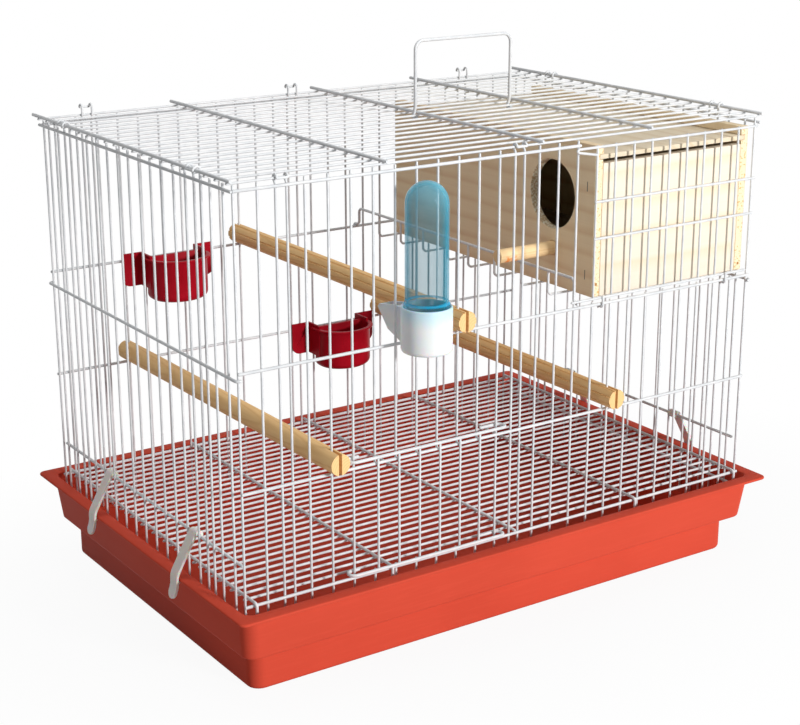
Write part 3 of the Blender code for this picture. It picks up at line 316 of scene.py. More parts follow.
DOOR_LOW_Z = GRATE_RAIL_Z + RAIL_R
NEST_DOOR_RAIL_Y = -(CAGE_HALF_Y + WIRE_R + NEST_DOOR_RAIL_R + 1.5 * GAP)
NEST_DOOR_WIRE_Y = NEST_DOOR_RAIL_Y + WIRE_R + NEST_DOOR_RAIL_R - WELD_BITE
KNUCKLE_R = RAIL_R + WIRE_R + GAP
LOOP_REACH = 2 * WIRE_R + 1.7 * GAP
RACK_WIRE_Z = NEST_LOW[2] - GAP - GRATE_WIRE_R
CLIP_RING_R = RAIL_R + CLIP_RING_SLACK + CLIP_THICK / 2
CUP_EAR_Y = CAGE_HALF_Y - WIRE_R - GAP
TROUGH_FLOOR_Z = FRONT_MID_Z + RAIL_R + GAP


class Reading:
    """A shader socket that can stand in a sum."""

    def __init__(self, nodes, socket):
        self.nodes = nodes
        self.socket = socket

    def sum(self, operation, first, second):
        """A sum of two readings or numbers."""
        return self.nodes.node("ShaderNodeMath", {"operation": operation}, {0: first, 1: second})

    def __add__(self, other):
        return self.sum("ADD", self, other)

    __radd__ = __add__

    def __sub__(self, other):
        return self.sum("SUBTRACT", self, other)

    def __rsub__(self, other):
        return self.sum("SUBTRACT", other, self)

    def __mul__(self, other):
        return self.sum("MULTIPLY", self, other)

    __rmul__ = __mul__

    def __truediv__(self, other):
        return self.sum("DIVIDE", self, other)

    def __rtruediv__(self, other):
        return self.sum("DIVIDE", other, self)

    def power(self, other):
        return self.sum("POWER", self, other)

    def or_else(self, other):
        """The larger of two readings."""
        return self.sum("MAXIMUM", self, other)

    def part(self):
        """What is left after the whole number."""
        return self.sum("FRACT", self, 0.0)

    def within(self, low, high):
        """Spread the stretch from low to high over 0 to 1."""
        settings = {"interpolation_type": "SMOOTHSTEP"}
        return self.nodes.node("ShaderNodeMapRange", settings, {0: self, 1: low, 2: high})


class Nodes:
    """The nodes of one material or world."""

    def __init__(self, tree):
        self.tree = tree

    def node(self, kind, settings=None, values=None, output=0):
        """A node: its settings come first, and then the values or links of its sockets."""
        made = self.tree.nodes.new(kind)
        for key, value in (settings or {}).items():
            if key == "stops":
                set_stops(made.color_ramp, value)
            else:
                setattr(made, key, value)
        for key, value in (values or {}).items():
            self.join(value, made.inputs[key])
        return Reading(self, made.outputs[output])

    def join(self, value, socket):
        """Link a reading to a socket, or set a plain value on it."""
        if isinstance(value, Reading):
            self.tree.links.new(value.socket, socket)
        else:
            socket.default_value = value

    def vector(self, operation, first, second=None, output="Vector"):
        """A sum of one or two places."""
        values = {0: first} if second is None else {0: first, 1: second}
        return self.node("ShaderNodeVectorMath", {"operation": operation}, values, output)

    def seen(self):
        """1 where the eye, a reflection or a clear wall looks, and 0 for light on the object."""
        words = ("Is Camera Ray", "Is Glossy Ray", "Is Transmission Ray")
        eye, gloss, through = [self.node("ShaderNodeLightPath", output=word) for word in words]
        return eye.or_else(gloss).or_else(through)


class Finish(Nodes):
    """One material: a Principled shader and the nodes that feed it."""

    def __init__(self, name, constants):
        self.material = bpy.data.materials.new(name)
        self.material.use_nodes = True
        super().__init__(self.material.node_tree)
        self.shader = self.tree.nodes["Principled BSDF"]
        for socket, value in constants.items():
            self.feed(socket, value)
        self.spot = self.node("ShaderNodeTexCoord", output="Object")

    def feed(self, socket, value):
        """Give one of the shader's sockets its reading or plain value."""
        self.join(value, self.shader.inputs[socket])

    def axis(self, letter, place=None):
        """One coordinate of the spot on the object, or of another place."""
        return self.node("ShaderNodeSeparateXYZ", {}, {0: place or self.spot}, output=letter)

    def ramp(self, reading, stops):
        """A colour for each stretch of a reading, from (place, colour) stops."""
        return self.node("ShaderNodeValToRGB", {"stops": stops}, {0: reading})

    def mix(self, amount, first, second):
        """Two colours mixed by an amount."""
        values = {0: amount, 6: colour_of(first), 7: colour_of(second)}
        return self.node("ShaderNodeMix", {"data_type": "RGBA"}, values, output=2)

    def stretched(self, scale, offset=(0.0, 0.0, 0.0)):
        """The place on the object, moved and then scaled along each axis."""
        return self.vector("MULTIPLY", self.vector("ADD", self.spot, offset), scale)

    def noise(self, scale, detail=2.0, roughness=0.5, place=None):
        """Cloudy noise over the object, or over another place."""
        values = {"Vector": place or self.spot, "Scale": scale, "Detail": detail, "Roughness": roughness}
        return self.node("ShaderNodeTexNoise", {}, values)

    def bump(self, height, strength, distance):
        """Fine relief, too small to be modelled."""
        values = {"Strength": strength, "Distance": distance, "Height": height}
        self.feed("Normal", self.node("ShaderNodeBump", {}, values))


def set_stops(band, stops):
    """Give a colour ramp its (place, colour) stops."""
    while len(band.elements) < len(stops):
        band.elements.new(0.5)
    for element, (place, colour) in zip(band.elements, stops):
        element.position = place
        element.color = (*colour, 1.0)


def colour_of(value):
    """A colour as a socket wants it."""
    return value if isinstance(value, Reading) else (*value, 1.0)


def coated_wire():
    """White coating on wire: satin, a little uneven where it ran."""
    finish = Finish("coated_wire", {"Specular IOR Level": 0.35})
    thin = (0.70, 0.72, 0.74)
    thick = (0.80, 0.81, 0.82)
    runs = finish.noise(scale=90.0, detail=3.0)
    peel = finish.noise(scale=900.0, detail=3.0)
    finish.feed("Base Color", finish.mix(runs.within(0.35, 0.7), thin, thick))
    finish.feed("Roughness", 0.34 + 0.16 * peel)
    finish.bump(peel + 1.5 * runs, strength=0.25, distance=0.06 * MM)
    return finish.material


def tray_red():
    """Orange-red moulded tray: satin, with faint flow marks and scuffs along the walls."""
    finish = Finish("tray_red", {"Specular IOR Level": 0.012})
    deep = (0.61, 0.072, 0.040)
    full = (0.67, 0.082, 0.046)
    marked = (0.71, 0.095, 0.055)
    scuffed = (0.80, 0.20, 0.13)
    cloud = finish.noise(scale=7.0)
    flow = finish.noise(scale=6.0, detail=4.0, place=finish.stretched((5.0, 5.0, 60.0)))
    scratches = finish.stretched((14.0, 14.0, 220.0))
    scuffs = finish.noise(scale=9.0, detail=5.0, roughness=0.7, place=scratches).within(0.62, 0.8)
    grain = finish.noise(scale=620.0)
    body = finish.mix(cloud.within(0.3, 0.7), deep, full)
    body = finish.mix(flow.within(0.45, 0.75) * 0.25, body, marked)
    finish.feed("Base Color", finish.mix(scuffs * 0.12, body, scuffed))
    finish.feed("Roughness", 0.34 + 0.12 * flow + 0.15 * scuffs)
    finish.bump(grain + 0.4 * flow, strength=0.18, distance=0.12 * MM)
    return finish.material


def crimson():
    """Dark red moulded cup plastic."""
    finish = Finish("cup_crimson", {"Specular IOR Level": 0.05})
    deep = (0.33, 0.004, 0.012)
    full = (0.40, 0.006, 0.017)
    cloud = finish.noise(scale=40.0)
    peel = finish.noise(scale=700.0)
    finish.feed("Base Color", finish.mix(cloud.within(0.3, 0.7), deep, full))
    finish.feed("Roughness", 0.26 + 0.12 * peel)
    finish.bump(peel, strength=0.15, distance=0.06 * MM)
    return finish.material


def scales(grain_axis, along, across):
    """A pattern's scales: one along the grain, and one for both ways across it."""
    return [along if axis == grain_axis else across for axis in range(3)]


def wood(name, grain_axis, heart, pale, dark, ring, wander=0.008, marks=None):
    """Bare wood: growth rings round a heart line, fine fibres and a dry surface."""
    finish = Finish(name, {"Specular IOR Level": 0.3})
    slow = scales(grain_axis, 2.2, 9.0)
    fine = scales(grain_axis, 14.0, 900.0)
    across = finish.stretched(scales(grain_axis, 0.0, 1.0), [-c for c in heart])
    reach = finish.vector("LENGTH", across, output="Value")
    drift = finish.noise(scale=1.0, detail=3.0, roughness=0.45, place=finish.stretched(slow))
    rings = (reach / ring + (drift - 0.5) * (2 * wander / ring)).part()
    fibre = finish.noise(scale=1.0, roughness=0.6, place=finish.stretched(fine))
    patch = finish.noise(scale=2.2, place=finish.stretched(slow, (3.0, 1.0, 2.0)))
    middle = tuple(0.6 * a + 0.4 * b for a, b in zip(pale, dark))
    ringed = finish.ramp(rings, [(0.0, pale), (0.5, pale), (0.84, dark), (0.93, middle), (1.0, pale)])
    soft = finish.mix(0.35 + 0.5 * patch, pale, ringed)
    colour = finish.mix(fibre.within(0.35, 0.75) * 0.3, soft, middle)
    if marks:
        colour = marks(finish, colour)
    finish.feed("Base Color", colour)
    finish.feed("Roughness", 0.62 + 0.2 * (fibre - 0.5))
    finish.bump(fibre + 0.5 * rings, strength=0.25, distance=0.09 * MM)
    return finish.material


def inside_box(finish, centre, half, edge=0.2 * MM):
    """1 inside a small box on the object, and 0 outside it."""
    reach = finish.vector("ABSOLUTE", finish.vector("SUBTRACT", finish.spot, centre))
    x, y, z = [finish.axis(letter, reach).within(limit + edge, limit) for letter, limit in zip("XYZ", half)]
    return x * y * z


def board_marks(finish, colour):
    """Side boards: orange end grain in front, a rough bore, staples and nail spots."""
    left, front = NEST_LOW[:2]
    end_pale, end_orange = (0.93, 0.78, 0.54), (0.80, 0.44, 0.13)
    bore_pale, bore_dark = (0.93, 0.84, 0.66), (0.66, 0.48, 0.27)
    staple_grey = (0.16, 0.15, 0.13)
    nail_brown = (0.42, 0.20, 0.05)
    speck = finish.noise(scale=480.0)
    end_grain = finish.mix(speck.within(0.54, 0.66), end_pale, end_orange)
    at_end = finish.axis("Y").within(front + 0.8 * MM, front + 0.2 * MM)
    colour = finish.mix(at_end * 0.85, colour, end_grain)
    to_hole = finish.stretched((0.0, 1.0, 1.0), (0.0, -NEST_HOLE_Y, -NEST_HOLE_Z))
    radius = finish.vector("LENGTH", to_hole, output="Value")
    inner_face = left + NEST_BOARD
    bored_board = finish.axis("X").within(inner_face + 2 * MM, inner_face + 1 * MM)
    in_bore = radius.within(NEST_HOLE_R + 0.7 * MM, NEST_HOLE_R + 0.2 * MM) * bored_board
    colour = finish.mix(in_bore, colour, finish.mix(speck.within(0.4, 0.6), bore_pale, bore_dark))
    for z in NEST_STAPLE_Z:
        staple = inside_box(finish, (left, NEST_STAPLE_Y, z), NEST_STAPLE_HALF)
        colour = finish.mix(staple, colour, staple_grey)
    for x, z in NEST_NAILS:
        nail = inside_box(finish, (x, front, z), NEST_NAIL_HALF)
        colour = finish.mix(nail, colour, nail_brown)
    return colour


def peg_stain(finish, colour):
    """An orange stain on the peg, behind its outer end and underneath."""
    tip = NEST_LOW[0] - PEG_OUT
    orange = (0.80, 0.22, 0.03)
    along = finish.axis("X")
    near = along.within(tip + 24 * MM, tip + 14 * MM) * along.within(tip + 4 * MM, tip + 7 * MM)
    under = finish.axis("Z").within(PEG_Z + 2 * MM, PEG_Z - 2 * MM)
    blot = finish.noise(scale=260.0).within(0.38, 0.55)
    return finish.mix(near * under * blot * 0.9, colour, orange)


def peg_wood():
    """The nest peg: dowel wood with an orange stain near its outer end."""
    pale = (0.93, 0.68, 0.38)
    dark = (0.78, 0.48, 0.20)
    heart = (0.05, -0.098, 0.29)
    return wood("peg_wood", 0, heart, pale, dark, ring=1.6 * MM, marks=peg_stain)


def clear_blue():
    """Clear light blue tube plastic: vivid seen edge on, at its dome and at its ring."""
    finish = Finish("tube_clear_blue", {"Roughness": 0.04, "IOR": 1.3, "Specular IOR Level": 0.3})
    facing_blue = (0.0, 0.26, 0.35)
    edge_blue = (0.05, 0.58, 0.86)
    dome_blue = (0.24, 0.74, 0.92)
    ring_blue = (0.02, 0.50, 0.86)
    edge = finish.node("ShaderNodeLayerWeight", {}, {"Blend": 0.5}, output="Facing").power(2.2)
    dome = finish.axis("Z").within(TUBE_TOP_Z - 2.0 * TUBE_R, TUBE_TOP_Z)
    ring_spot = (DRINKER_X, DRINKER_Y, TUBE_RING_Z[1])
    ring = inside_box(finish, ring_spot, (TUBE_RING_R, TUBE_RING_R, 0.8 * MM))
    streak = finish.noise(scale=4.0, place=finish.stretched((60.0, 60.0, 6.0)))
    body = finish.mix(edge, facing_blue, edge_blue)
    body = finish.mix(dome * 0.6, body, dome_blue)
    finish.feed("Base Color", finish.mix(ring * 0.8, body, ring_blue))
    finish.feed("Alpha", 0.17 + 0.66 * edge + 0.1 * dome + 0.3 * ring + 0.06 * (streak - 0.5))
    return finish.material


def milky():
    """Milky drinker plastic, with the blue of the tube behind it painted in at the top, where it would show
    through.
    """
    constants = {"Subsurface Weight": 0.5, "Subsurface Scale": 4.0 * MM, "Specular IOR Level": 0.35}
    finish = Finish("drinker_milky", constants)
    dull = (0.86, 0.88, 0.89)
    bright = (0.91, 0.92, 0.93)
    # Painted show-through: the tube's blue, painted into the upper wall's colour
    tube_blue_painted = (0.46, 0.76, 0.90)
    plain = (0.93, 0.93, 0.93)
    peel = finish.noise(scale=300.0)
    cloud = finish.noise(scale=60.0)
    height = finish.axis("Z")
    low, high = DRINKER_BASE_Z
    upper = height.within(0.45 * low + 0.55 * high, high)
    lower = height.within(0.5 * low + 0.5 * high, low)
    body = finish.mix(cloud, dull, bright)
    # Painted show-through of the tube behind the wall, mixed into the upper part
    body = finish.mix(upper * 0.6, body, tube_blue_painted)
    finish.feed("Base Color", finish.mix(lower * 0.5, body, plain))
    finish.feed("Roughness", 0.25 + 0.15 * peel)
    finish.bump(peel, strength=0.15, distance=0.08 * MM)
    return finish.material


def clip_plastic():
    """Off-white clip plastic that lets some light through."""
    constants = {"Subsurface Weight": 0.6, "Subsurface Scale": 3.0 * MM, "Specular IOR Level": 0.35}
    finish = Finish("clip_plastic", constants)
    dull = (0.80, 0.76, 0.70)
    bright = (0.88, 0.86, 0.82)
    cloud = finish.noise(scale=120.0, detail=3.0)
    peel = finish.noise(scale=800.0)
    finish.feed("Base Color", finish.mix(cloud, dull, bright))
    finish.feed("Roughness", 0.35 + 0.15 * peel)
    finish.bump(peel, strength=0.2, distance=0.06 * MM)
    return finish.material


def in_scene(name, data):
    """A new object, linked to the scene."""
    thing = bpy.data.objects.new(name, data)
    bpy.context.scene.collection.objects.link(thing)
    return thing


def place(name, data, material, body, slot, replaced=None):
    """Put a piece in the scene: its finish, its body and the solid that it stands for."""
    piece = in_scene(name, data)
    data.materials.clear()
    data.materials.append(material)
    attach(piece, body)
    if replaced:
        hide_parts(replaced)
    return piece


def smooth(mesh, angle=35.0):
    """Round shading, with edges kept sharp past an angle."""
    mesh.shade_smooth()
    mesh.set_sharp_from_angle(angle=math.radians(angle))
    return mesh


def mesh_from(work, name):
    """A mesh out of an edited one, faces outwards."""
    bmesh.ops.recalc_face_normals(work, faces=work.faces)
    mesh = bpy.data.meshes.new(name)
    work.to_mesh(mesh)
    work.free()
    return mesh


def arc(centre, radius, start, end, steps):
    """Points of an arc in a plane, from one angle in degrees to another."""
    points = []
    for i in range(steps + 1):
        angle = math.radians(start + (end - start) * i / steps)
        points.append((centre[0] + radius * math.cos(angle), centre[1] + radius * math.sin(angle)))
    return points


def at_x(x, points):
    """A path in the upright plane at x."""
    return [(x, y, z) for y, z in points]


def at_y(y, points):
    """A path in the upright plane at y."""
    return [(x, y, z) for x, z in points]


def evenly(first, last, count):
    """Numbers in equal steps, from the first to the last."""
    return [first + (last - first) * i / (count - 1) for i in range(count)]


def eased(path, bend, steps=4):
    """Turn each corner of a path into a short curve."""
    path = [Vector(point) for point in path]
    points = [path[0]]
    for before, corner, after in zip(path, path[1:], path[2:]):
        back = before - corner
        onward = after - corner
        reach = min(bend, BEND_SHARE * back.length, BEND_SHARE * onward.length)
        start = corner + back.normalized() * reach
        end = corner + onward.normalized() * reach
        for i in range(steps + 1):
            t = i / steps
            points.append((1 - t) ** 2 * start + 2 * t * (1 - t) * corner + t ** 2 * end)
    points.append(path[-1])
    return points


def tipped(path, radius):
    """Each point with its thickness: full along the wire and drawn in at its two cut ends."""
    first, last = path[0], path[-1]
    start = first + (path[1] - first).normalized() * CUT_TAPER * radius
    end = last + (path[-2] - last).normalized() * CUT_TAPER * radius
    middle = [(point, 1.0) for point in (start, *path[1:-1], end)]
    return [(first, CUT_TIP), *middle, (last, CUT_TIP)]


def wirework(name, groups, material, body, node):
    """Round wire along many paths, as one piece: groups are (paths, radius, bend)."""
    curve = bpy.data.curves.new(name, "CURVE")
    curve.dimensions = "3D"
    curve.bevel_depth = MM
    curve.bevel_resolution = 3
    curve.use_fill_caps = True
    for paths, radius, bend in groups:
        for path in paths:
            points = tipped(eased(path, bend), radius)
            spline = curve.splines.new("POLY")
            spline.points.add(len(points) - 1)
            for point, (spot, share) in zip(spline.points, points):
                point.co = (*spot, 1.0)
                point.radius = share * radius / MM
            spline.use_smooth = True
    return place(name, curve, material, body, "coated_wire", node)


def front_wire_x():
    """Where the front panel's uprights stand."""
    count = round(2 * CAGE_HALF_X / WIRE_PITCH) + 1
    return evenly(-CAGE_HALF_X, CAGE_HALF_X, count)


def side_wire_y():
    """Where a side panel's uprights stand."""
    reach = CAGE_HALF_Y - SIDE_FIRST_WIRE
    return evenly(-reach, reach, SIDE_WIRES)


def end_panel_loop(x, side, rise):
    """A hairpin of one wire that goes up inside the roof's edge wire and over it."""
    wire_y = side * CAGE_HALF_Y
    over = arc((0.0, ROOF_WIRE_Z + rise), LOOP_REACH, 180, 0, steps=8)
    inner = [(side * (ROOF_HALF_Y + a), z) for a, z in over]
    jog = (wire_y, TOP_RAIL_Z + LOOP_JOG)
    knee = (inner[0][0], ROOF_WIRE_Z - 2 * GAP)
    leg = [(wire_y, FEET_Z), jog, knee, *inner]
    return at_x(x - LOOP_HALF_X, leg) + at_x(x + LOOP_HALF_X, leg)[::-1]


def side_panel_loop(y, side):
    """The same hairpin on a side panel, over the roof's edge rail."""
    rail_x = ROOF_RAIL_X[-1]
    over = arc((0.0, ROOF_RAIL_Z), rail_x - SIDE_X, 180, 0, steps=8)
    leg = [(side * SIDE_X, FEET_Z)] + [(side * (rail_x + a), z) for a, z in over]
    return at_y(y - SIDE_LOOP_HALF, leg) + at_y(y + SIDE_LOOP_HALF, leg)[::-1]


def upright(x, y, low=FEET_Z, high=PANEL_TOP_Z):
    """A straight wire from the feet to the panel's top, or between two other heights."""
    return [(x, y, low), (x, y, high)]


def crosswise(y, z, low=-CAGE_HALF_X - RAIL_OVERRUN, high=CAGE_HALF_X + RAIL_OVERRUN):
    """A straight wire from the cage's left to its right."""
    return [(low, y, z), (high, y, z)]


def lengthwise(x, z, low, high):
    """A straight wire from the cage's front to its back."""
    return [(x, low, z), (x, high, z)]


def make_front_panel(white):
    """Front wires, with a low doorway left of the middle and the nest's at the upper right."""
    y = -CAGE_HALF_Y
    spots = front_wire_x()
    uprights = [end_panel_loop(x, -1, 0.0) for x in FRONT_LOOP_X]
    first, last = DOOR_GUIDES
    for i, x in enumerate(spots):
        if any(abs(x - loop) < WIRE_R for loop in FRONT_LOOP_X):
            continue
        if first < i < last:
            uprights.append(upright(x, y, high=BASE_RAIL_Z + DOORWAY_SILL_STUB))
            uprights.append(upright(x, y, low=FRONT_LOWER_Z - DOORWAY_HEAD_STUB))
        elif NEST_DOOR_JAMB < i < len(spots) - 1:
            uprights.append(upright(x, y, high=FRONT_MID_Z + NEST_SILL_STUB))
        else:
            uprights.append(upright(x, y))
    rails = [crosswise(-RAIL_Y, z) for z in (BASE_RAIL_Z, FRONT_LOWER_Z, FRONT_MID_Z)]
    rails.append(crosswise(-RAIL_Y, TOP_RAIL_Z, high=spots[NEST_DOOR_JAMB] + RAIL_OVERRUN))
    groups = [(rails, RAIL_R, 0.0), (uprights, WIRE_R, UPRIGHT_BEND)]
    wirework("front_panel_wires", groups, white, "cage", "front_panel")


def make_back_panel(white):
    """Back wires, half a cell off those of the front."""
    half = WIRE_PITCH / 2
    spots = [-CAGE_HALF_X, *[x + half for x in front_wire_x()[:-1]], CAGE_HALF_X]
    uprights = [end_panel_loop(x, 1, BACK_LOOP_RISE) for x in BACK_LOOP_X]
    for x in spots:
        if all(abs(x - loop) > WIRE_R for loop in BACK_LOOP_X):
            uprights.append(upright(x, CAGE_HALF_Y))
    rails = [crosswise(RAIL_Y, z) for z in (BASE_RAIL_Z, BACK_LOWER_Z, BACK_MID_Z, TOP_RAIL_Z)]
    groups = [(rails, RAIL_R, 0.0), (uprights, WIRE_R, UPRIGHT_BEND)]
    wirework("back_panel_wires", groups, white, "cage", "back_panel")


def make_side_panel(word, side, white):
    """Side wires, whose middle rail curls round the corners of the cage."""
    uprights = []
    for i, y in enumerate(side_wire_y()):
        looped = i in SIDE_LOOP_WIRES
        uprights.append(side_panel_loop(y, side) if looped else upright(side * SIDE_X, y))
    curl = arc((CAGE_HALF_X, CAGE_HALF_Y), SIDE_RAIL_X - CAGE_HALF_X, 0, 90, steps=6)
    curl.append((CAGE_HALF_X - RAIL_R, curl[-1][1]))
    middle = [(side * x, -y, SIDE_MID_Z) for x, y in curl[::-1]]
    middle += [(side * x, y, SIDE_MID_Z) for x, y in curl]
    end = CAGE_HALF_Y + WELD_STEP + RAIL_OVERRUN
    inner_end = CAGE_HALF_Y - WIRE_R - 2 * RAIL_R - GAP
    rails = [lengthwise(side * SIDE_RAIL_X, TOP_RAIL_Z, -end, end), middle]
    for z in (SIDE_LOWER_Z, SIDE_FOOT_RAIL_Z):
        rails.append(lengthwise(side * SIDE_INNER_RAIL_X, z, -inner_end, inner_end))
    groups = [(rails, RAIL_R, RAIL_R / 2), (uprights, WIRE_R, UPRIGHT_BEND)]
    wirework(word + "_panel_wires", groups, white, "cage", word + "_panel")


def make_roof(white):
    """Roof wires from side to side, with rails on top of them."""
    end = ROOF_RAIL_X[-1] + ROOF_RAIL_R
    wires_y = evenly(-ROOF_HALF_Y, ROOF_HALF_Y, ROOF_WIRES)
    across = [crosswise(y, ROOF_WIRE_Z, -end, end) for y in wires_y]
    front = -ROOF_HALF_Y - ROOF_FRONT_OVERRUN
    back = ROOF_HALF_Y + ROOF_BACK_OVERRUN
    rails = [lengthwise(x, ROOF_RAIL_Z, front, back) for x in ROOF_RAIL_X]
    groups = [(rails, ROOF_RAIL_R, 0.0), (across, WIRE_R, 0.0)]
    wirework("roof_wires", groups, white, "cage", "roof_panel")


def make_grate(white):
    """Floor wires from side to side, hung under rails; some rails hook down in front."""
    low = GRATE_RAIL_X[0] - GRATE_OVERRUN
    high = GRATE_RAIL_X[-1] + GRATE_OVERRUN
    wires_y = evenly(-GRATE_HALF_Y, GRATE_HALF_Y, GRATE_WIRES)
    across = [crosswise(y, GRATE_WIRE_Z, low, high) for y in wires_y]
    rails = []
    for i, x in enumerate(GRATE_RAIL_X):
        path = [(RAIL_Y + 2 * RAIL_R, GRATE_RAIL_Z), (-RAIL_Y - RAIL_R, GRATE_RAIL_Z)]
        if i in GRATE_HOOKED:
            path.append((-GRATE_HOOK_Y, GRATE_RAIL_Z - RAIL_R))
            path.append((-GRATE_HOOK_Y, GRATE_RAIL_Z - GRATE_LEG))
        rails.append(at_x(x, path))
    groups = [(rails, RAIL_R, RAIL_R), (across, GRATE_WIRE_R, 0.0)]
    wirework("grate_wires", groups, white, "cage", "floor_grate")


def make_front_door(white):
    """The sliding door: bars on two rails that are bent round its guide wires."""
    spots = front_wire_x()
    first, last = DOOR_GUIDES
    middle = (DOOR_RAIL_Y + DOOR_RETURN_Y) / 2
    bend = (DOOR_RETURN_Y - DOOR_RAIL_Y) / 2
    turn_x = WIRE_R + GAP
    low_x = spots[first] - turn_x
    high_x = spots[last] + turn_x
    left = arc((low_x, middle), bend, 90, 270, steps=12)
    right = arc((high_x, middle), bend, -90, 90, steps=12)
    start = (low_x + DOOR_RETURNS[0], DOOR_RETURN_Y)
    end = (high_x - DOOR_RETURNS[1], DOOR_RETURN_Y)
    plan = [start, *left, *right, end]
    rails = [[(x, y, z) for x, y in plan] for z in (DOOR_LOW_Z, DOOR_LOW_Z + DOOR_HEIGHT)]
    foot = DOOR_LOW_Z - DOOR_RAIL_R / 2
    head = DOOR_LOW_Z + DOOR_HEIGHT + DOOR_RAIL_R / 2
    bars = [upright(x, DOOR_WIRE_Y, foot, head) for x in spots[first + 1:last]]
    groups = [(rails, DOOR_RAIL_R, DOOR_BEND), (bars, WIRE_R, 0.0)]
    wirework("front_door_wires", groups, white, "front_door", "front_door")


def make_nest_door(white):
    """The nest's door: bars, a latch finger, and knuckles round a rail of the front."""
    spots = front_wire_x()
    y = NEST_DOOR_RAIL_Y
    left = spots[NEST_DOOR_JAMB + 1] - 2 * RAIL_R
    right = CAGE_HALF_X + RAIL_OVERRUN - NEST_DOOR_SHY
    finger = spots[NEST_DOOR_JAMB] - LATCH_REACH
    latch = [
        (finger + LATCH_DROP / 2, NEST_DOOR_TOP_Z),
        (finger, NEST_DOOR_TOP_Z - LATCH_DROP / 2),
        (finger + LATCH_DROP / 2, NEST_DOOR_TOP_Z - LATCH_DROP),
        (LATCH_RETURN_X, NEST_DOOR_TOP_Z - LATCH_DROP - LATCH_RETURN_FALL),
    ]
    rails = [at_y(y, [(right, NEST_DOOR_TOP_Z), *latch])]
    rails += [crosswise(y, z, left, right) for z in NEST_DOOR_BARS_Z]
    rails.append(crosswise(y, NEST_DOOR_SILL_Z, NEST_DOOR_LEFT, NEST_DOOR_SILL_RIGHT))
    foot = NEST_DOOR_SILL_Z - NEST_BAR_STUB
    head = NEST_DOOR_TOP_Z + NEST_BAR_STUB
    bars = [upright(x, NEST_DOOR_WIRE_Y, foot, head) for x in spots[NEST_DOOR_JAMB + 1:-1]]
    start, end = KNUCKLE_TURN
    hook = arc((-RAIL_Y, FRONT_MID_Z), KNUCKLE_R, start, end, steps=12)
    hook_y, hook_z = hook[-1]
    slope = math.radians(end - 90)
    tail = (hook_y - KNUCKLE_TAIL * math.cos(slope), hook_z + KNUCKLE_TAIL * math.sin(slope))
    weld_y = y - (NEST_DOOR_RAIL_R + WIRE_R - WELD_BITE)
    above, below = KNUCKLE_STEM
    path = [(weld_y, NEST_DOOR_SILL_Z + above), (weld_y, NEST_DOOR_SILL_Z - below), *hook, tail]
    knuckles = [at_x(x, path) for x in KNUCKLE_X]
    groups = [(rails, NEST_DOOR_RAIL_R, NEST_DOOR_BEND), (bars + knuckles, WIRE_R, KNUCKLE_BEND)]
    wirework("nest_door_wires", groups, white, "nest_door", "nest_door")


def make_handle(white):
    """The carry handle: one wire, hooked round a roof wire at both feet."""
    hook_r = WIRE_R + HANDLE_R + GAP
    start, end = HANDLE_HOOK_TURN
    foot = arc((0.0, ROOF_WIRE_Z), hook_r, start, end, steps=12)
    foot.append((0.0, ROOF_WIRE_Z + HANDLE_NECK * hook_r))
    left, right = HANDLE_FEET_X
    corner_z = HANDLE_TOP_Z - HANDLE_CORNER
    near = arc((left + HANDLE_CORNER, corner_z), HANDLE_CORNER, 180, 90, steps=10)
    far = arc((right - HANDLE_CORNER, corner_z), HANDLE_CORNER, 90, 0, steps=10)
    path = at_x(left, foot) + at_y(0.0, near + far) + at_x(right, foot)[::-1]
    groups = [([path], HANDLE_R, HANDLE_BEND)]
    wirework("handle_wire", groups, white, "carry_handle", "carry_handle")


def clear_of(y, others, least):
    """A place moved away from its nearest neighbour, where it is too close."""
    nearest = min(others, key=lambda other: abs(other - y))
    if abs(nearest - y) >= least:
        return y
    return nearest + math.copysign(least, y - nearest)


def make_rack(white):
    """The nest box's rack: a footed rod, and wires from it under the box to the side."""
    chamfer = 2 * RAIL_R
    front_rest = FRONT_MID_Z + RAIL_R * FLAT_R + GAP + RAIL_R
    back_rest = BACK_MID_Z + RAIL_R * FLAT_R + GAP + RAIL_R
    post = CAGE_HALF_Y - WIRE_R - chamfer - GAP
    rod_path = [
        (-RAIL_Y, front_rest),
        (-post - chamfer, front_rest),
        (-post, front_rest + chamfer),
        (-post, RACK_ROD_Z - chamfer),
        (-post + chamfer, RACK_ROD_Z),
        (post - chamfer, RACK_ROD_Z),
        (post, RACK_ROD_Z - chamfer),
        (post, back_rest + chamfer),
        (post + chamfer, back_rest),
        (RAIL_Y + RAIL_R, back_rest),
        (RAIL_Y + 3 * RAIL_R, back_rest - 2 * RAIL_R),
    ]
    side_wires = []
    for i, y in enumerate(side_wire_y()):
        side_wires += [y - SIDE_LOOP_HALF, y + SIDE_LOOP_HALF] if i in SIDE_LOOP_WIRES else [y]
    legs = []
    rest = SIDE_MID_Z + RAIL_R + GAP + GRATE_WIRE_R
    for y in evenly(RACK_FIRST_Y, RACK_LAST_Y, RACK_WIRES):
        y = clear_of(y, side_wires, RACK_WIRE_CLEAR)
        legs.append(at_y(y, [
            (RACK_ROD_X, RACK_ROD_Z - RAIL_R / 2),
            (RACK_ROD_X, RACK_WIRE_Z + chamfer),
            (RACK_ROD_X + chamfer, RACK_WIRE_Z),
            (NEST_HIGH[0] - chamfer, RACK_WIRE_Z),
            (SIDE_X - WIRE_R, rest),
            (SIDE_RAIL_X + RAIL_R, rest),
        ]))
    groups = [([at_x(RACK_ROD_X, rod_path)], RAIL_R, RAIL_R), (legs, GRATE_WIRE_R, RAIL_R)]
    wirework("rack_wires", groups, white, "cage", "nest_rack")


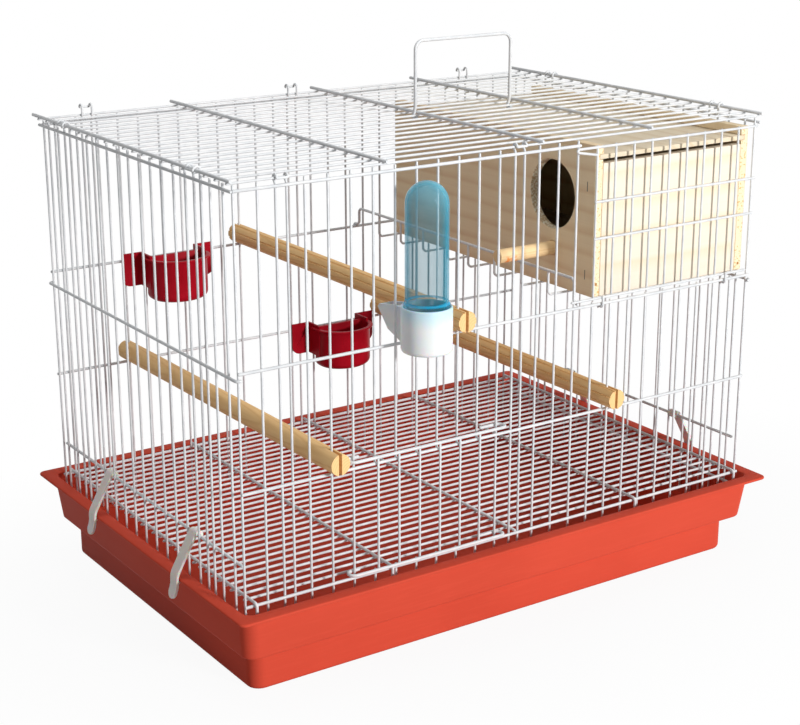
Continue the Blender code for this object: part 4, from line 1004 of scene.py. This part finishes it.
def loft(name, rings):
    """A closed skin through rings of equally many points."""
    work = bmesh.new()
    rows = [[work.verts.new(spot) for spot in ring] for ring in rings]
    count = len(rows[0])
    for lower, upper in zip(rows, rows[1:]):
        for i in range(count):
            j = (i + 1) % count
            work.faces.new((lower[i], lower[j], upper[j], upper[i]))
    work.faces.new(rows[0][::-1])
    work.faces.new(rows[-1])
    return mesh_from(work, name)


def rounded_rectangle(half, inset, corner, z):
    """A level ring with round corners, drawn in from its half sizes by an inset."""
    half_x = half[0] - inset
    half_y = half[1] - inset
    ring = []
    for i, (sign_x, sign_y) in enumerate(((1, 1), (-1, 1), (-1, -1), (1, -1))):
        centre = (sign_x * (half_x - corner), sign_y * (half_y - corner))
        ring += arc(centre, corner, 90 * i, 90 * i + 90, steps=8)
    return [(x, y, z) for x, y in ring]


def make_tray(red):
    """The tray as one skin, with every edge rounded as it leaves the mould."""
    lower, shelf, upper = TRAY_LOWER_HALF, TRAY_UPPER_FOOT_HALF, TRAY_UPPER_TOP_HALF
    wall = TRAY_WALL
    band = TRAY_BAND_CORNER
    inner = band - wall
    step = TRAY_STEP_Z
    top = TRAY_HEIGHT
    foot = TRAY_FOOT_ROUND
    rim = 0.5 * wall
    under_step, under_rim, mouth = TRAY_UNDER_STEP, TRAY_UNDER_RIM, TRAY_MOUTH
    ledge, edge = TRAY_LEDGE_INNER, TRAY_LEDGE_EDGE
    rings = []
    # Each rounded edge: outline, corner, its centre's inset and height, radius, turn and steps
    for half, corner, inset, z, radius, start, end, steps in (
        (lower, band, foot, foot, foot, -90, 0, 5),
        (lower, band, -under_step, step - under_step, under_step, 180, 90, 5),
        (shelf, band, wall, step + wall, wall, -90, 0, 5),
        (upper, band, -under_rim, top - wall - under_rim, under_rim, 180, 90, 5),
        (TRAY_RIM_HALF, TRAY_RIM_CORNER, rim, top - rim, rim, -90, 90, 8),
        (upper, inner + mouth, mouth, top - mouth, mouth, 90, 180, 4),
        (shelf, inner, wall + ledge, step + wall + ledge, ledge, 0, -90, 3),
        (lower, inner, wall - edge, step + wall - edge, edge, 90, 180, 3),
        (lower, inner, foot + wall, foot + wall, foot, 0, -90, 5),
    ):
        for a, b in arc((0.0, 0.0), radius, start, end, steps):
            shift = inset - a
            rings.append(rounded_rectangle(half, shift, max(corner - shift, TRAY_LEAST_CORNER), z + b))
    mesh = smooth(loft("tray_skin", rings), 40)
    place("tray_skin", mesh, red, "cage", "tray_plastic", "tray")


def box_mesh(name, low, high, edge=0.0):
    """A block, with softened edges where an edge is given."""
    work = bmesh.new()
    bmesh.ops.create_cube(work, size=1.0)
    bmesh.ops.scale(work, vec=[b - a for a, b in zip(low, high)], verts=work.verts)
    bmesh.ops.translate(work, vec=[(a + b) / 2 for a, b in zip(low, high)], verts=work.verts)
    if edge:
        bmesh.ops.bevel(work, geom=work.edges[:], offset=edge, segments=2, profile=0.6, affect="EDGES")
    return mesh_from(work, name)


def rod_mesh(name, start, end, radius, sides):
    """A round rod between two points."""
    start = Vector(start)
    along = Vector(end) - start
    work = bmesh.new()
    ends = {"radius1": radius, "radius2": radius}
    bmesh.ops.create_cone(work, cap_ends=True, segments=sides, depth=along.length, **ends)
    turn = along.to_track_quat("Z", "Y").to_matrix().to_4x4()
    bmesh.ops.transform(work, matrix=Matrix.Translation(start + along / 2) @ turn, verts=work.verts)
    return mesh_from(work, name)


def plate_mesh(name, outline, thickness, matrix):
    """A flat outline, thickened evenly about its own plane and then placed."""
    work = bmesh.new()
    lower = [work.verts.new((a, b, -thickness / 2)) for a, b in outline]
    upper = [work.verts.new((a, b, thickness / 2)) for a, b in outline]
    work.faces.new(lower[::-1])
    work.faces.new(upper)
    count = len(outline)
    for i in range(count):
        j = (i + 1) % count
        work.faces.new((lower[i], lower[j], upper[j], upper[i]))
    bmesh.ops.transform(work, matrix=matrix, verts=work.verts)
    return mesh_from(work, name)


def turned_mesh(name, profile, centre, steps):
    """A profile of (radius, height) points, turned about an upright axis."""
    work = bmesh.new()
    rows = []
    for i in range(steps):
        angle = 2 * math.pi * i / steps
        turn_x, turn_y = math.cos(angle), math.sin(angle)
        row = [(centre[0] + r * turn_x, centre[1] + r * turn_y, z) for r, z in profile]
        rows.append([work.verts.new(spot) for spot in row])
    for i in range(steps):
        near = rows[i]
        far = rows[(i + 1) % steps]
        for j in range(len(profile) - 1):
            work.faces.new((near[j], near[j + 1], far[j + 1], far[j]))
    bmesh.ops.remove_doubles(work, verts=work.verts, dist=0.001 * MM)
    return mesh_from(work, name)


def combined(mesh, tool, operation):
    """One solid cut by, or joined to, another."""
    base = in_scene("base", mesh)
    other = in_scene("tool", tool)
    step = base.modifiers.new("step", "BOOLEAN")
    step.operation = operation
    step.solver = "EXACT"
    step.object = other
    graph = bpy.context.evaluated_depsgraph_get()
    result = bpy.data.meshes.new_from_object(base.evaluated_get(graph))
    for thing in (base, other):
        bpy.data.objects.remove(thing)
    for old in (mesh, tool):
        bpy.data.meshes.remove(old)
    return result


def soften(piece, width, segments=2, angle=40.0):
    """Rounded edges that catch the light."""
    step = piece.modifiers.new("soften", "BEVEL")
    step.width = width
    step.segments = segments
    step.limit_method = "ANGLE"
    step.angle_limit = math.radians(angle)
    step.use_clamp_overlap = True
    return piece


def make_nest_box(dowel):
    """The nest box: grooved sides, front, back, floor, lid and peg, each from its own board."""
    x0, y0, z0 = NEST_LOW
    x1, y1, z1 = NEST_HIGH
    board = NEST_BOARD
    lid_top = z1 - NEST_LID_DROP
    lid_low = lid_top - NEST_LID
    side_wood = wood(
        "side_board_wood", 1, (0.13, 0.0, 0.62), (0.97, 0.79, 0.53), (0.80, 0.55, 0.31),
        ring=19 * MM, wander=22 * MM, marks=board_marks,
    )
    front_wood = wood(
        "front_board_wood", 0, (0.0, -0.26, 0.16), (0.86, 0.77, 0.64), (0.82, 0.66, 0.44), ring=24 * MM,
    )
    lid_wood = wood(
        "lid_wood", 1, (0.10, 0.0, 0.28), (0.78, 0.67, 0.50), (0.66, 0.51, 0.32), ring=12 * MM,
    )
    for name, outer, way in (("nest_left_side", x0, 1), ("nest_right_side", x1, -1)):
        inner = outer + way * board
        low, high = sorted((outer, inner))
        side = box_mesh(name, (low, y0, z0), (high, y1, z1))
        groove, beyond = sorted((inner - way * LID_GROOVE, inner + way * board))
        slot_low = (groove, y0 - board, lid_low - GAP)
        slot_high = (beyond, y1 + board, lid_top + GAP)
        side = combined(side, box_mesh(name + "_groove", slot_low, slot_high), "DIFFERENCE")
        if outer == x0:
            for y, z, radius, sides in (
                (NEST_HOLE_Y, NEST_HOLE_Z, NEST_HOLE_R, 96),
                (PEG_Y, PEG_Z, PEG_R + GAP, 48),
            ):
                bore = rod_mesh("bore", (x0 - board, y, z), (x0 + 2 * board, y, z), radius, sides)
                side = combined(side, bore, "DIFFERENCE")
        piece = place(name + "_board", smooth(side), side_wood, "cage", "nest_wood", name)
        soften(piece, BOARD_EDGE)
    low_x = x0 + board + GAP
    high_x = x1 - board - GAP
    front_y = y0 + board
    back_y = y1 - board
    front_top = lid_low - NEST_SLOT
    lid_x = (x0 + board - LID_GROOVE + GAP, x1 - board + LID_GROOVE - GAP)
    for name, low, high, material, body in (
        ("nest_front_board", (low_x, y0, z0), (high_x, front_y, front_top), front_wood, "cage"),
        ("nest_back_board", (low_x, back_y, z0), (high_x, y1, lid_low - GAP), front_wood, "cage"),
        ("nest_floor", (low_x, front_y + GAP, z0), (high_x, back_y - GAP, z0 + board), lid_wood, "cage"),
        ("nest_lid", (lid_x[0], y0, lid_low), (lid_x[1], y1, lid_top), lid_wood, "nest_lid"),
    ):
        board_mesh = smooth(box_mesh(name, low, high, BOARD_EDGE))
        place(name + "_wood", board_mesh, material, body, "nest_wood", name)
    peg = rod_mesh("nest_peg_dowel", (x0 - PEG_OUT, PEG_Y, PEG_Z), (x0 + board, PEG_Y, PEG_Z), PEG_R, 48)
    piece = place("nest_peg_dowel", smooth(peg), dowel, "cage", "dowel_wood", "nest_peg")
    soften(piece, PEG_EDGE)


def perch_section(fluted, steps=12):
    """A round section; a fluted one has narrow V grooves cut along it."""
    points = []
    half = PERCH_FLUTE_WIDTH / PERCH_R / 2
    for i in range(PERCH_FLUTES):
        middle = 2 * math.pi * (i + 0.5) / PERCH_FLUTES
        next_middle = middle + 2 * math.pi / PERCH_FLUTES
        if fluted:
            deep = PERCH_R - PERCH_FLUTE_DEPTH
            points.append((deep * math.cos(middle), deep * math.sin(middle)))
            spread = evenly(middle + half, next_middle - half, steps)
        else:
            spread = evenly(middle, next_middle, steps + 1)[:-1]
        points += [(PERCH_R * math.cos(a), PERCH_R * math.sin(a)) for a in spread]
    return points


def make_perch(name, front_x, back_x, front_rail_z, back_rail_z, fluted, material):
    """A dowel across the cage, slit at both ends to slip over an upright wire."""
    lift = RAIL_R + GAP + PERCH_R
    start = Vector((front_x, -CAGE_HALF_Y, front_rail_z + lift))
    end = Vector((back_x, CAGE_HALF_Y, back_rail_z + lift))
    along = (end - start).normalized()
    tip = start - along * PERCH_PROUD[0]
    heel = end + along * PERCH_PROUD[1]
    turn = along.to_track_quat("Z", "Y").to_matrix().to_4x4()
    placed = Matrix.Translation((tip + heel) / 2) @ turn
    perch = plate_mesh(name, perch_section(fluted), (heel - tip).length, placed)
    half = PERCH_KERF / 2
    for end_point, wire_x, side in ((tip, front_x, -1), (heel, back_x, 1)):
        deep = side * CAGE_HALF_Y - side * (PERCH_KERF_DEPTH - PERCH_PROUD[0])
        near, far = sorted((deep, end_point.y + side * PERCH_R))
        low = (wire_x - half, near, end_point.z - 2 * PERCH_R)
        high = (wire_x + half, far, end_point.z + 2 * PERCH_R)
        perch = combined(perch, box_mesh("kerf", low, high), "DIFFERENCE")
    piece = place(name + "_dowel", smooth(perch, 30), material, "cage", "dowel_wood", name)
    soften(piece, PERCH_EDGE, angle=50.0)


def cup_ring(centre_x, offset, z):
    """A level ring of a cup: square at the back and round in front, let out by an offset."""
    half = CUP_HALF_X + offset
    back = CUP_EAR_Y - CUP_BACK + offset
    shoulder = CUP_EAR_Y - CUP_STRAIGHT
    nose = CUP_DEPTH - CUP_STRAIGHT + offset
    corner = CUP_BACK_CORNER
    ring = arc((centre_x - half + corner, back - corner), corner, 90, 180, steps=4)
    for i in range(CUP_NOSE_STEPS + 1):
        angle = math.pi * (1 + i / CUP_NOSE_STEPS)
        ring.append((centre_x + half * math.cos(angle), shoulder + nose * math.sin(angle)))
    ring += arc((centre_x + half - corner, back - corner), corner, 0, 90, steps=4)
    return [(x, y, z) for x, y in ring]


def cup_foot(offset, z, start, end):
    """Offsets and heights along a cup's rounded foot, from one angle in degrees to another."""
    wide, high = CUP_FOOT_ROUND
    turns = [math.radians(a) for a in evenly(start, end, 7)]
    return [(offset + wide * math.sin(a), z + high * (1 - math.cos(a))) for a in turns]


def make_cup(name, centre_x, rail_z, red):
    """A feeder cup: bowl, rolled lip, two webs with ears, and hooks over the rail."""
    rim = rail_z + CUP_RIM_OVER_RAIL
    foot = rim - CUP_HEIGHT
    wall = CUP_WALL
    lip_r = wall / 2
    fillet_out, fillet_down = CUP_LIP_FILLET
    foot_wide = CUP_FOOT_ROUND[0]
    profile = [
        (-CUP_FLOOR_INSET, foot),
        *cup_foot(-foot_wide, foot, 10, 90),
        (0.0, rim - wall - fillet_down),
        (fillet_out, rim - wall),
        *arc((CUP_LIP - lip_r, rim - lip_r), lip_r, -90, 90, steps=6),
        *arc((CUP_MOUTH - wall, rim - CUP_MOUTH), CUP_MOUTH, 90, 180, steps=3),
        *cup_foot(-foot_wide - wall, foot + wall, 90, 10),
    ]
    rings = [cup_ring(centre_x, offset, z) for offset, z in profile]
    place(name + "_bowl", smooth(loft(name + "_bowl", rings), 45), red, name, "cup_plastic", name)

    # The parts of a bracket overlap by small shares of the wall, and so join into one solid
    top = rim + CUP_EAR_RISE
    web_in = CUP_HALF_X - 0.9 * wall
    web_out = CUP_HALF_X + 0.4 * wall
    ear_in = web_in + 0.2 * wall
    corner_spot = (CUP_EAR_HALF_X - CUP_EAR_CORNER, CUP_EAR_CORNER - CUP_EAR_HEIGHT)
    corner = arc(corner_spot, CUP_EAR_CORNER, 0, -90, steps=12)
    outline = [(ear_in, 0.0), (CUP_EAR_HALF_X, 0.0), *corner, (ear_in, -CUP_EAR_HEIGHT)]
    arm_near = CUP_EAR_Y - wall / 2
    upright_plane = Matrix.Rotation(math.radians(90), 4, "X")
    placed = Matrix.Translation((centre_x, arm_near, top)) @ upright_plane
    arm_low = rail_z + RAIL_R + GAP
    leg_near = RAIL_Y + RAIL_R + 2 * GAP
    leg_far = leg_near + wall
    leg_foot = arm_low + wall - CUP_HOOK_LEG
    half = CUP_HOOK_WIDTH / 2
    for word, side in (("left", -1), ("right", 1)):
        low_x, high_x = sorted((centre_x + side * web_in, centre_x + side * web_out))
        web_low = (low_x, CUP_EAR_Y - CUP_STRAIGHT - wall, top - CUP_EAR_HEIGHT)
        web = box_mesh("web", web_low, (high_x, CUP_EAR_Y, top))
        ear = plate_mesh("ear", [(side * a, b) for a, b in outline], 0.9 * wall, placed)
        low_x = centre_x + side * CUP_HOOK_X - half
        high_x = centre_x + side * CUP_HOOK_X + half
        arm = box_mesh("arm", (low_x, arm_near, arm_low), (high_x, leg_far, arm_low + wall))
        leg_high = (high_x, leg_far + 0.1 * wall, arm_low + 0.8 * wall)
        leg = box_mesh("leg", (low_x, leg_near, leg_foot), leg_high)
        bracket = combined(web, ear, "UNION")
        bracket = combined(bracket, combined(arm, leg, "UNION"), "UNION")
        piece = place(name + "_" + word + "_ear", smooth(bracket), red, name, "cup_plastic")
        soften(piece, CUP_EDGE)


def make_drinker_tube(blue):
    """The domed tube, with a ring that it stands on."""
    wall = TUBE_WALL
    dome = (0.0, TUBE_TOP_Z - TUBE_R)
    ring_low, ring_high = TUBE_RING_Z
    edge, slope = TUBE_RING_EDGE, TUBE_RING_SLOPE
    profile = [
        *arc(dome, TUBE_R, 90, 0, steps=16),
        (TUBE_R, ring_high + slope),
        (TUBE_RING_R - edge, ring_high - 0.6 * slope),
        (TUBE_RING_R, ring_high - slope),
        (TUBE_RING_R, ring_low + edge),
        (TUBE_RING_R - edge, ring_low),
        (TUBE_R, ring_low - slope),
        *arc((TUBE_R - wall / 2, TUBE_FOOT_Z + wall / 2), wall / 2, 0, -180, steps=6),
        *arc(dome, TUBE_R - wall, 0, 90, steps=16),
    ]
    tube = turned_mesh("drinker_tube_clear", profile, (DRINKER_X, DRINKER_Y), DRINKER_STEPS)
    place("drinker_tube_clear", smooth(tube, 30), blue, "drinker_tube", "tube_plastic", "drinker_tube")


def make_drinker_base(milk):
    """The round base that the tube stands in, and its trough into the cage."""
    low, high = DRINKER_BASE_Z
    wall = DRINKER_WALL
    centre = (DRINKER_X, DRINKER_Y)
    tip_y, foot_y = TROUGH_TIP_Y, TROUGH_FOOT_Y
    floor_z, top_z = TROUGH_FLOOR_Z, TROUGH_TOP_Z
    rise = TROUGH_RISE
    shell = [
        (0.0, high),
        *arc((DRINKER_BASE_R - 0.5 * wall, high - 0.5 * wall), 0.5 * wall, 90, 0, steps=3),
        *arc((DRINKER_BASE_R - 2 * wall, low + 2 * wall), 2 * wall, 0, -90, steps=6),
        (0.0, low),
    ]
    spout = [
        (DRINKER_Y, floor_z),
        (-RAIL_Y, floor_z),
        (foot_y, floor_z + rise),
        (tip_y, top_z - rise),
        (tip_y - TROUGH_LIP[0], top_z - TROUGH_LIP[1]),
        (TROUGH_BRIM_Y, top_z),
        (DRINKER_Y, top_z),
    ]
    seat_z = TUBE_RING_Z[0]
    bore_r = TUBE_RING_R + 2 * GAP
    seat_r = TUBE_R + 1.5 * GAP
    socket = [
        (0.0, high + 4 * wall),
        (bore_r, high + 4 * wall),
        (bore_r, seat_z),
        (seat_r, seat_z - wall),
        (seat_r, low + 3 * wall),
        (seat_r - wall, low + 1.6 * wall),
        (0.0, low + 1.6 * wall),
    ]
    channel = [
        (TROUGH_THROAT_Y, floor_z + wall),
        (-RAIL_Y + wall, floor_z + wall),
        (foot_y - 0.6 * wall, floor_z + rise + wall),
        (tip_y - 1.4 * wall, top_z - rise),
        (tip_y - 1.4 * wall, top_z + rise),
        (TROUGH_COVER_Y, top_z + rise),
        (TROUGH_COVER_Y, top_z - rise),
        (TROUGH_THROAT_Y, top_z - rise),
    ]
    plane = Matrix(((0, 0, 1, TROUGH_X), (1, 0, 0, 0), (0, 1, 0, 0), (0, 0, 0, 1)))
    base = turned_mesh("drinker_base", shell, centre, DRINKER_STEPS)
    base = combined(base, plate_mesh("trough", spout, 2 * TROUGH_HALF_X, plane), "UNION")
    base = combined(base, turned_mesh("socket", socket, centre, DRINKER_STEPS), "DIFFERENCE")
    base = combined(base, plate_mesh("channel", channel, 2 * (TROUGH_HALF_X - wall), plane), "DIFFERENCE")
    piece = place("drinker_base_milky", smooth(base), milk, "cage", "milky_plastic", "drinker_base")
    soften(piece, DRINKER_EDGE)


def strip_rings(line, thickness, half_width, turn):
    """Sections of a bent strip along its centre line; its width is rounded off at the far end."""
    line = [Vector(spot) for spot in line]
    last = len(line) - 1
    left = 0.0
    rings = []
    for i in range(last, -1, -1):
        point = line[i]
        after = line[min(i + 1, last)]
        side = (after - line[max(i - 1, 0)]).normalized().orthogonal() * thickness / 2
        left += (after - point).length
        short = max(1.0 - left / half_width, 0.0)
        wide = half_width * math.sqrt(max(1.0 - short ** 2, CLIP_TIP))
        near, far = point + side, point - side
        corners = ((near, -wide), (near, wide), (far, wide), (far, -wide))
        rings.append([turn @ Vector((*spot, y)) for spot, y in corners])
    return rings


def make_clip(name, side, y, plastic):
    """A tray clip: ring, arm over the rim, nib under it and a round-ended tail to pull."""
    start, end = CLIP_RING_TURN
    ring = arc((SIDE_INNER_RAIL_X, SIDE_LOWER_Z), CLIP_RING_R, start, end, steps=18)
    edge_x = TRAY_RIM_HALF[0] + CLIP_RIM_CLEAR + CLIP_THICK / 2
    rim_low = TRAY_HEIGHT - TRAY_WALL
    arm = [
        ring[-1],
        *[(edge_x - inwards, TRAY_HEIGHT + above) for inwards, above in CLIP_SHOULDER],
        (edge_x, rim_low - CLIP_HEEL[0]),
        (edge_x + 0.25 * CLIP_TAIL_FLARE, rim_low - CLIP_HEEL[1]),
    ]
    bent = [(p.x, p.y) for p in eased([(a, b, 0.0) for a, b in arm], CLIP_BEND)]
    heel_x, heel_z = bent[-1]
    out = edge_x + CLIP_TAIL_FLARE - heel_x
    down = CLIP_TAIL_Z - heel_z
    tail = [(heel_x + out * t, heel_z + down * t) for t in evenly(0.1, 1.0, 14)]
    turn = Matrix(((side, 0, 0, 0), (0, 0, 1, y), (0, 1, 0, 0), (0, 0, 0, 1)))
    strip = strip_rings([*ring[:-1], *bent, *tail], CLIP_THICK, CLIP_WIDTH / 2, turn)
    nose_x = edge_x - CLIP_THICK / 2 - CLIP_NIB
    nib_z = rim_low - NIB_TOP
    nib = [
        (edge_x, nib_z + NIB_SLOPE),
        (nose_x, nib_z),
        (nose_x + NIB_NOSE[0], nib_z - NIB_NOSE[1]),
        (edge_x, nib_z - NIB_DEPTH),
    ]
    clip = combined(loft(name, strip), plate_mesh("nib", nib, 0.8 * CLIP_WIDTH, turn), "UNION")
    piece = place(name + "_strip", smooth(clip), plastic, name, "clip_plastic", name)
    soften(piece, CLIP_EDGE)


def floor_paint():
    """The floor: pale grey under the lamps, and white to the eye, most of all away from the object."""
    grey = (FLOOR_GREY, FLOOR_GREY, FLOOR_GREY, 1.0)
    constants = {"Base Color": grey, "Roughness": 0.9, "Specular IOR Level": 0.1}
    finish = Finish("studio_floor", constants)
    squeezed = finish.vector("MULTIPLY", finish.spot, WHITE_SQUEEZE)
    values = {"Value": finish.vector("LENGTH", squeezed, output="Value")}
    values.update({"From Min": WHITE_REACH[0], "From Max": WHITE_REACH[1]})
    values.update({"To Min": WHITE_SHARE[0], "To Max": WHITE_SHARE[1]})
    whiter = finish.node("ShaderNodeMapRange", {}, values)
    lit = Reading(finish, finish.shader.outputs[0])
    glow = finish.node("ShaderNodeEmission")
    blend = finish.node("ShaderNodeMixShader", {}, {0: finish.seen() * whiter, 1: lit, 2: glow})
    finish.join(blend, finish.tree.nodes["Material Output"].inputs["Surface"])
    return finish.material


def make_studio():
    """A white room: floor, even fill, and soft light from the front right and from above."""
    work = bmesh.new()
    bmesh.ops.create_grid(work, x_segments=1, y_segments=1, size=FLOOR_HALF)
    mesh = mesh_from(work, "studio_floor")
    mesh.materials.append(floor_paint())
    floor = in_scene("studio_floor", mesh)
    floor.location.z = -FLOOR_DROP

    world = bpy.data.worlds.new("studio")
    bpy.context.scene.world = world
    world.use_nodes = True
    air = Nodes(world.node_tree)
    background = world.node_tree.nodes["Background"]
    background.inputs["Color"].default_value = (1.0, 1.0, 1.0, 1.0)
    level = air.node("ShaderNodeMapRange", {}, {"Value": air.seen(), "To Min": FILL, "To Max": 1.0})
    air.join(level, background.inputs["Strength"])

    for name, spot, aim, size, watts in LAMPS:
        lamp = bpy.data.lights.new(name, "AREA")
        lamp.size = size
        lamp.energy = watts
        holder = in_scene(name, lamp)
        holder.location = spot
        holder.rotation_euler = (Vector(aim) - Vector(spot)).to_track_quat("-Z", "Y").to_euler()


def make_camera():
    """The camera, at the place and angle of the photograph."""
    lens = bpy.data.cameras.new("camera")
    lens.lens = CAMERA_LENS
    lens.sensor_width = CAMERA_SENSOR
    lens.clip_start = CAMERA_NEAR
    camera = in_scene("camera", lens)
    camera.location = CAMERA_SPOT
    camera.rotation_euler = (math.radians(90) - CAMERA_DIP, CAMERA_ROLL, -CAMERA_HEADING)
    bpy.context.scene.camera = camera


def main():
    """Build the room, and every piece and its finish."""
    bpy.context.scene.view_settings.view_transform = "Standard"
    make_camera()
    make_studio()

    white = coated_wire()
    make_tray(tray_red())
    make_front_panel(white)
    make_back_panel(white)
    make_side_panel("left", -1, white)
    make_side_panel("right", 1, white)
    make_roof(white)
    make_grate(white)
    make_front_door(white)
    make_nest_door(white)
    make_handle(white)
    make_rack(white)
    make_nest_box(peg_wood())

    spots = front_wire_x()
    half = WIRE_PITCH / 2
    pale = (0.96, 0.62, 0.28)
    dark = (0.76, 0.43, 0.16)
    for name, i, front_z, back_z, fluted in (
        ("perch_upper", 10, FRONT_MID_Z, BACK_MID_Z, True),
        ("perch_lower_left", 4, FRONT_LOWER_Z, BACK_LOWER_Z, False),
        ("perch_lower_right", 18, FRONT_LOWER_Z, BACK_LOWER_Z, True),
    ):
        x = spots[i]
        heart = (x + 9 * MM, 0.0, front_z + 3 * MM)
        dowel = wood(name + "_wood", 1, heart, pale, dark, ring=2.2 * MM, wander=4 * MM)
        make_perch(name, x, x - half, front_z, back_z, fluted, dowel)

    red = crimson()
    make_cup("feeder_cup_upper", CUP_UPPER_X, BACK_MID_Z, red)
    make_cup("feeder_cup_lower", CUP_LOWER_X, BACK_LOWER_Z, red)
    make_drinker_tube(clear_blue())
    make_drinker_base(milky())

    plastic = clip_plastic()
    own = side_wire_y()
    for word, side in (("left", -1), ("right", 1)):
        for place_word, cell in zip(("front", "rear"), CLIP_CELLS):
            y = (own[cell] + own[cell + 1]) / 2
            make_clip("tray_clip_" + word + "_" + place_word, side, y, plastic)


main()
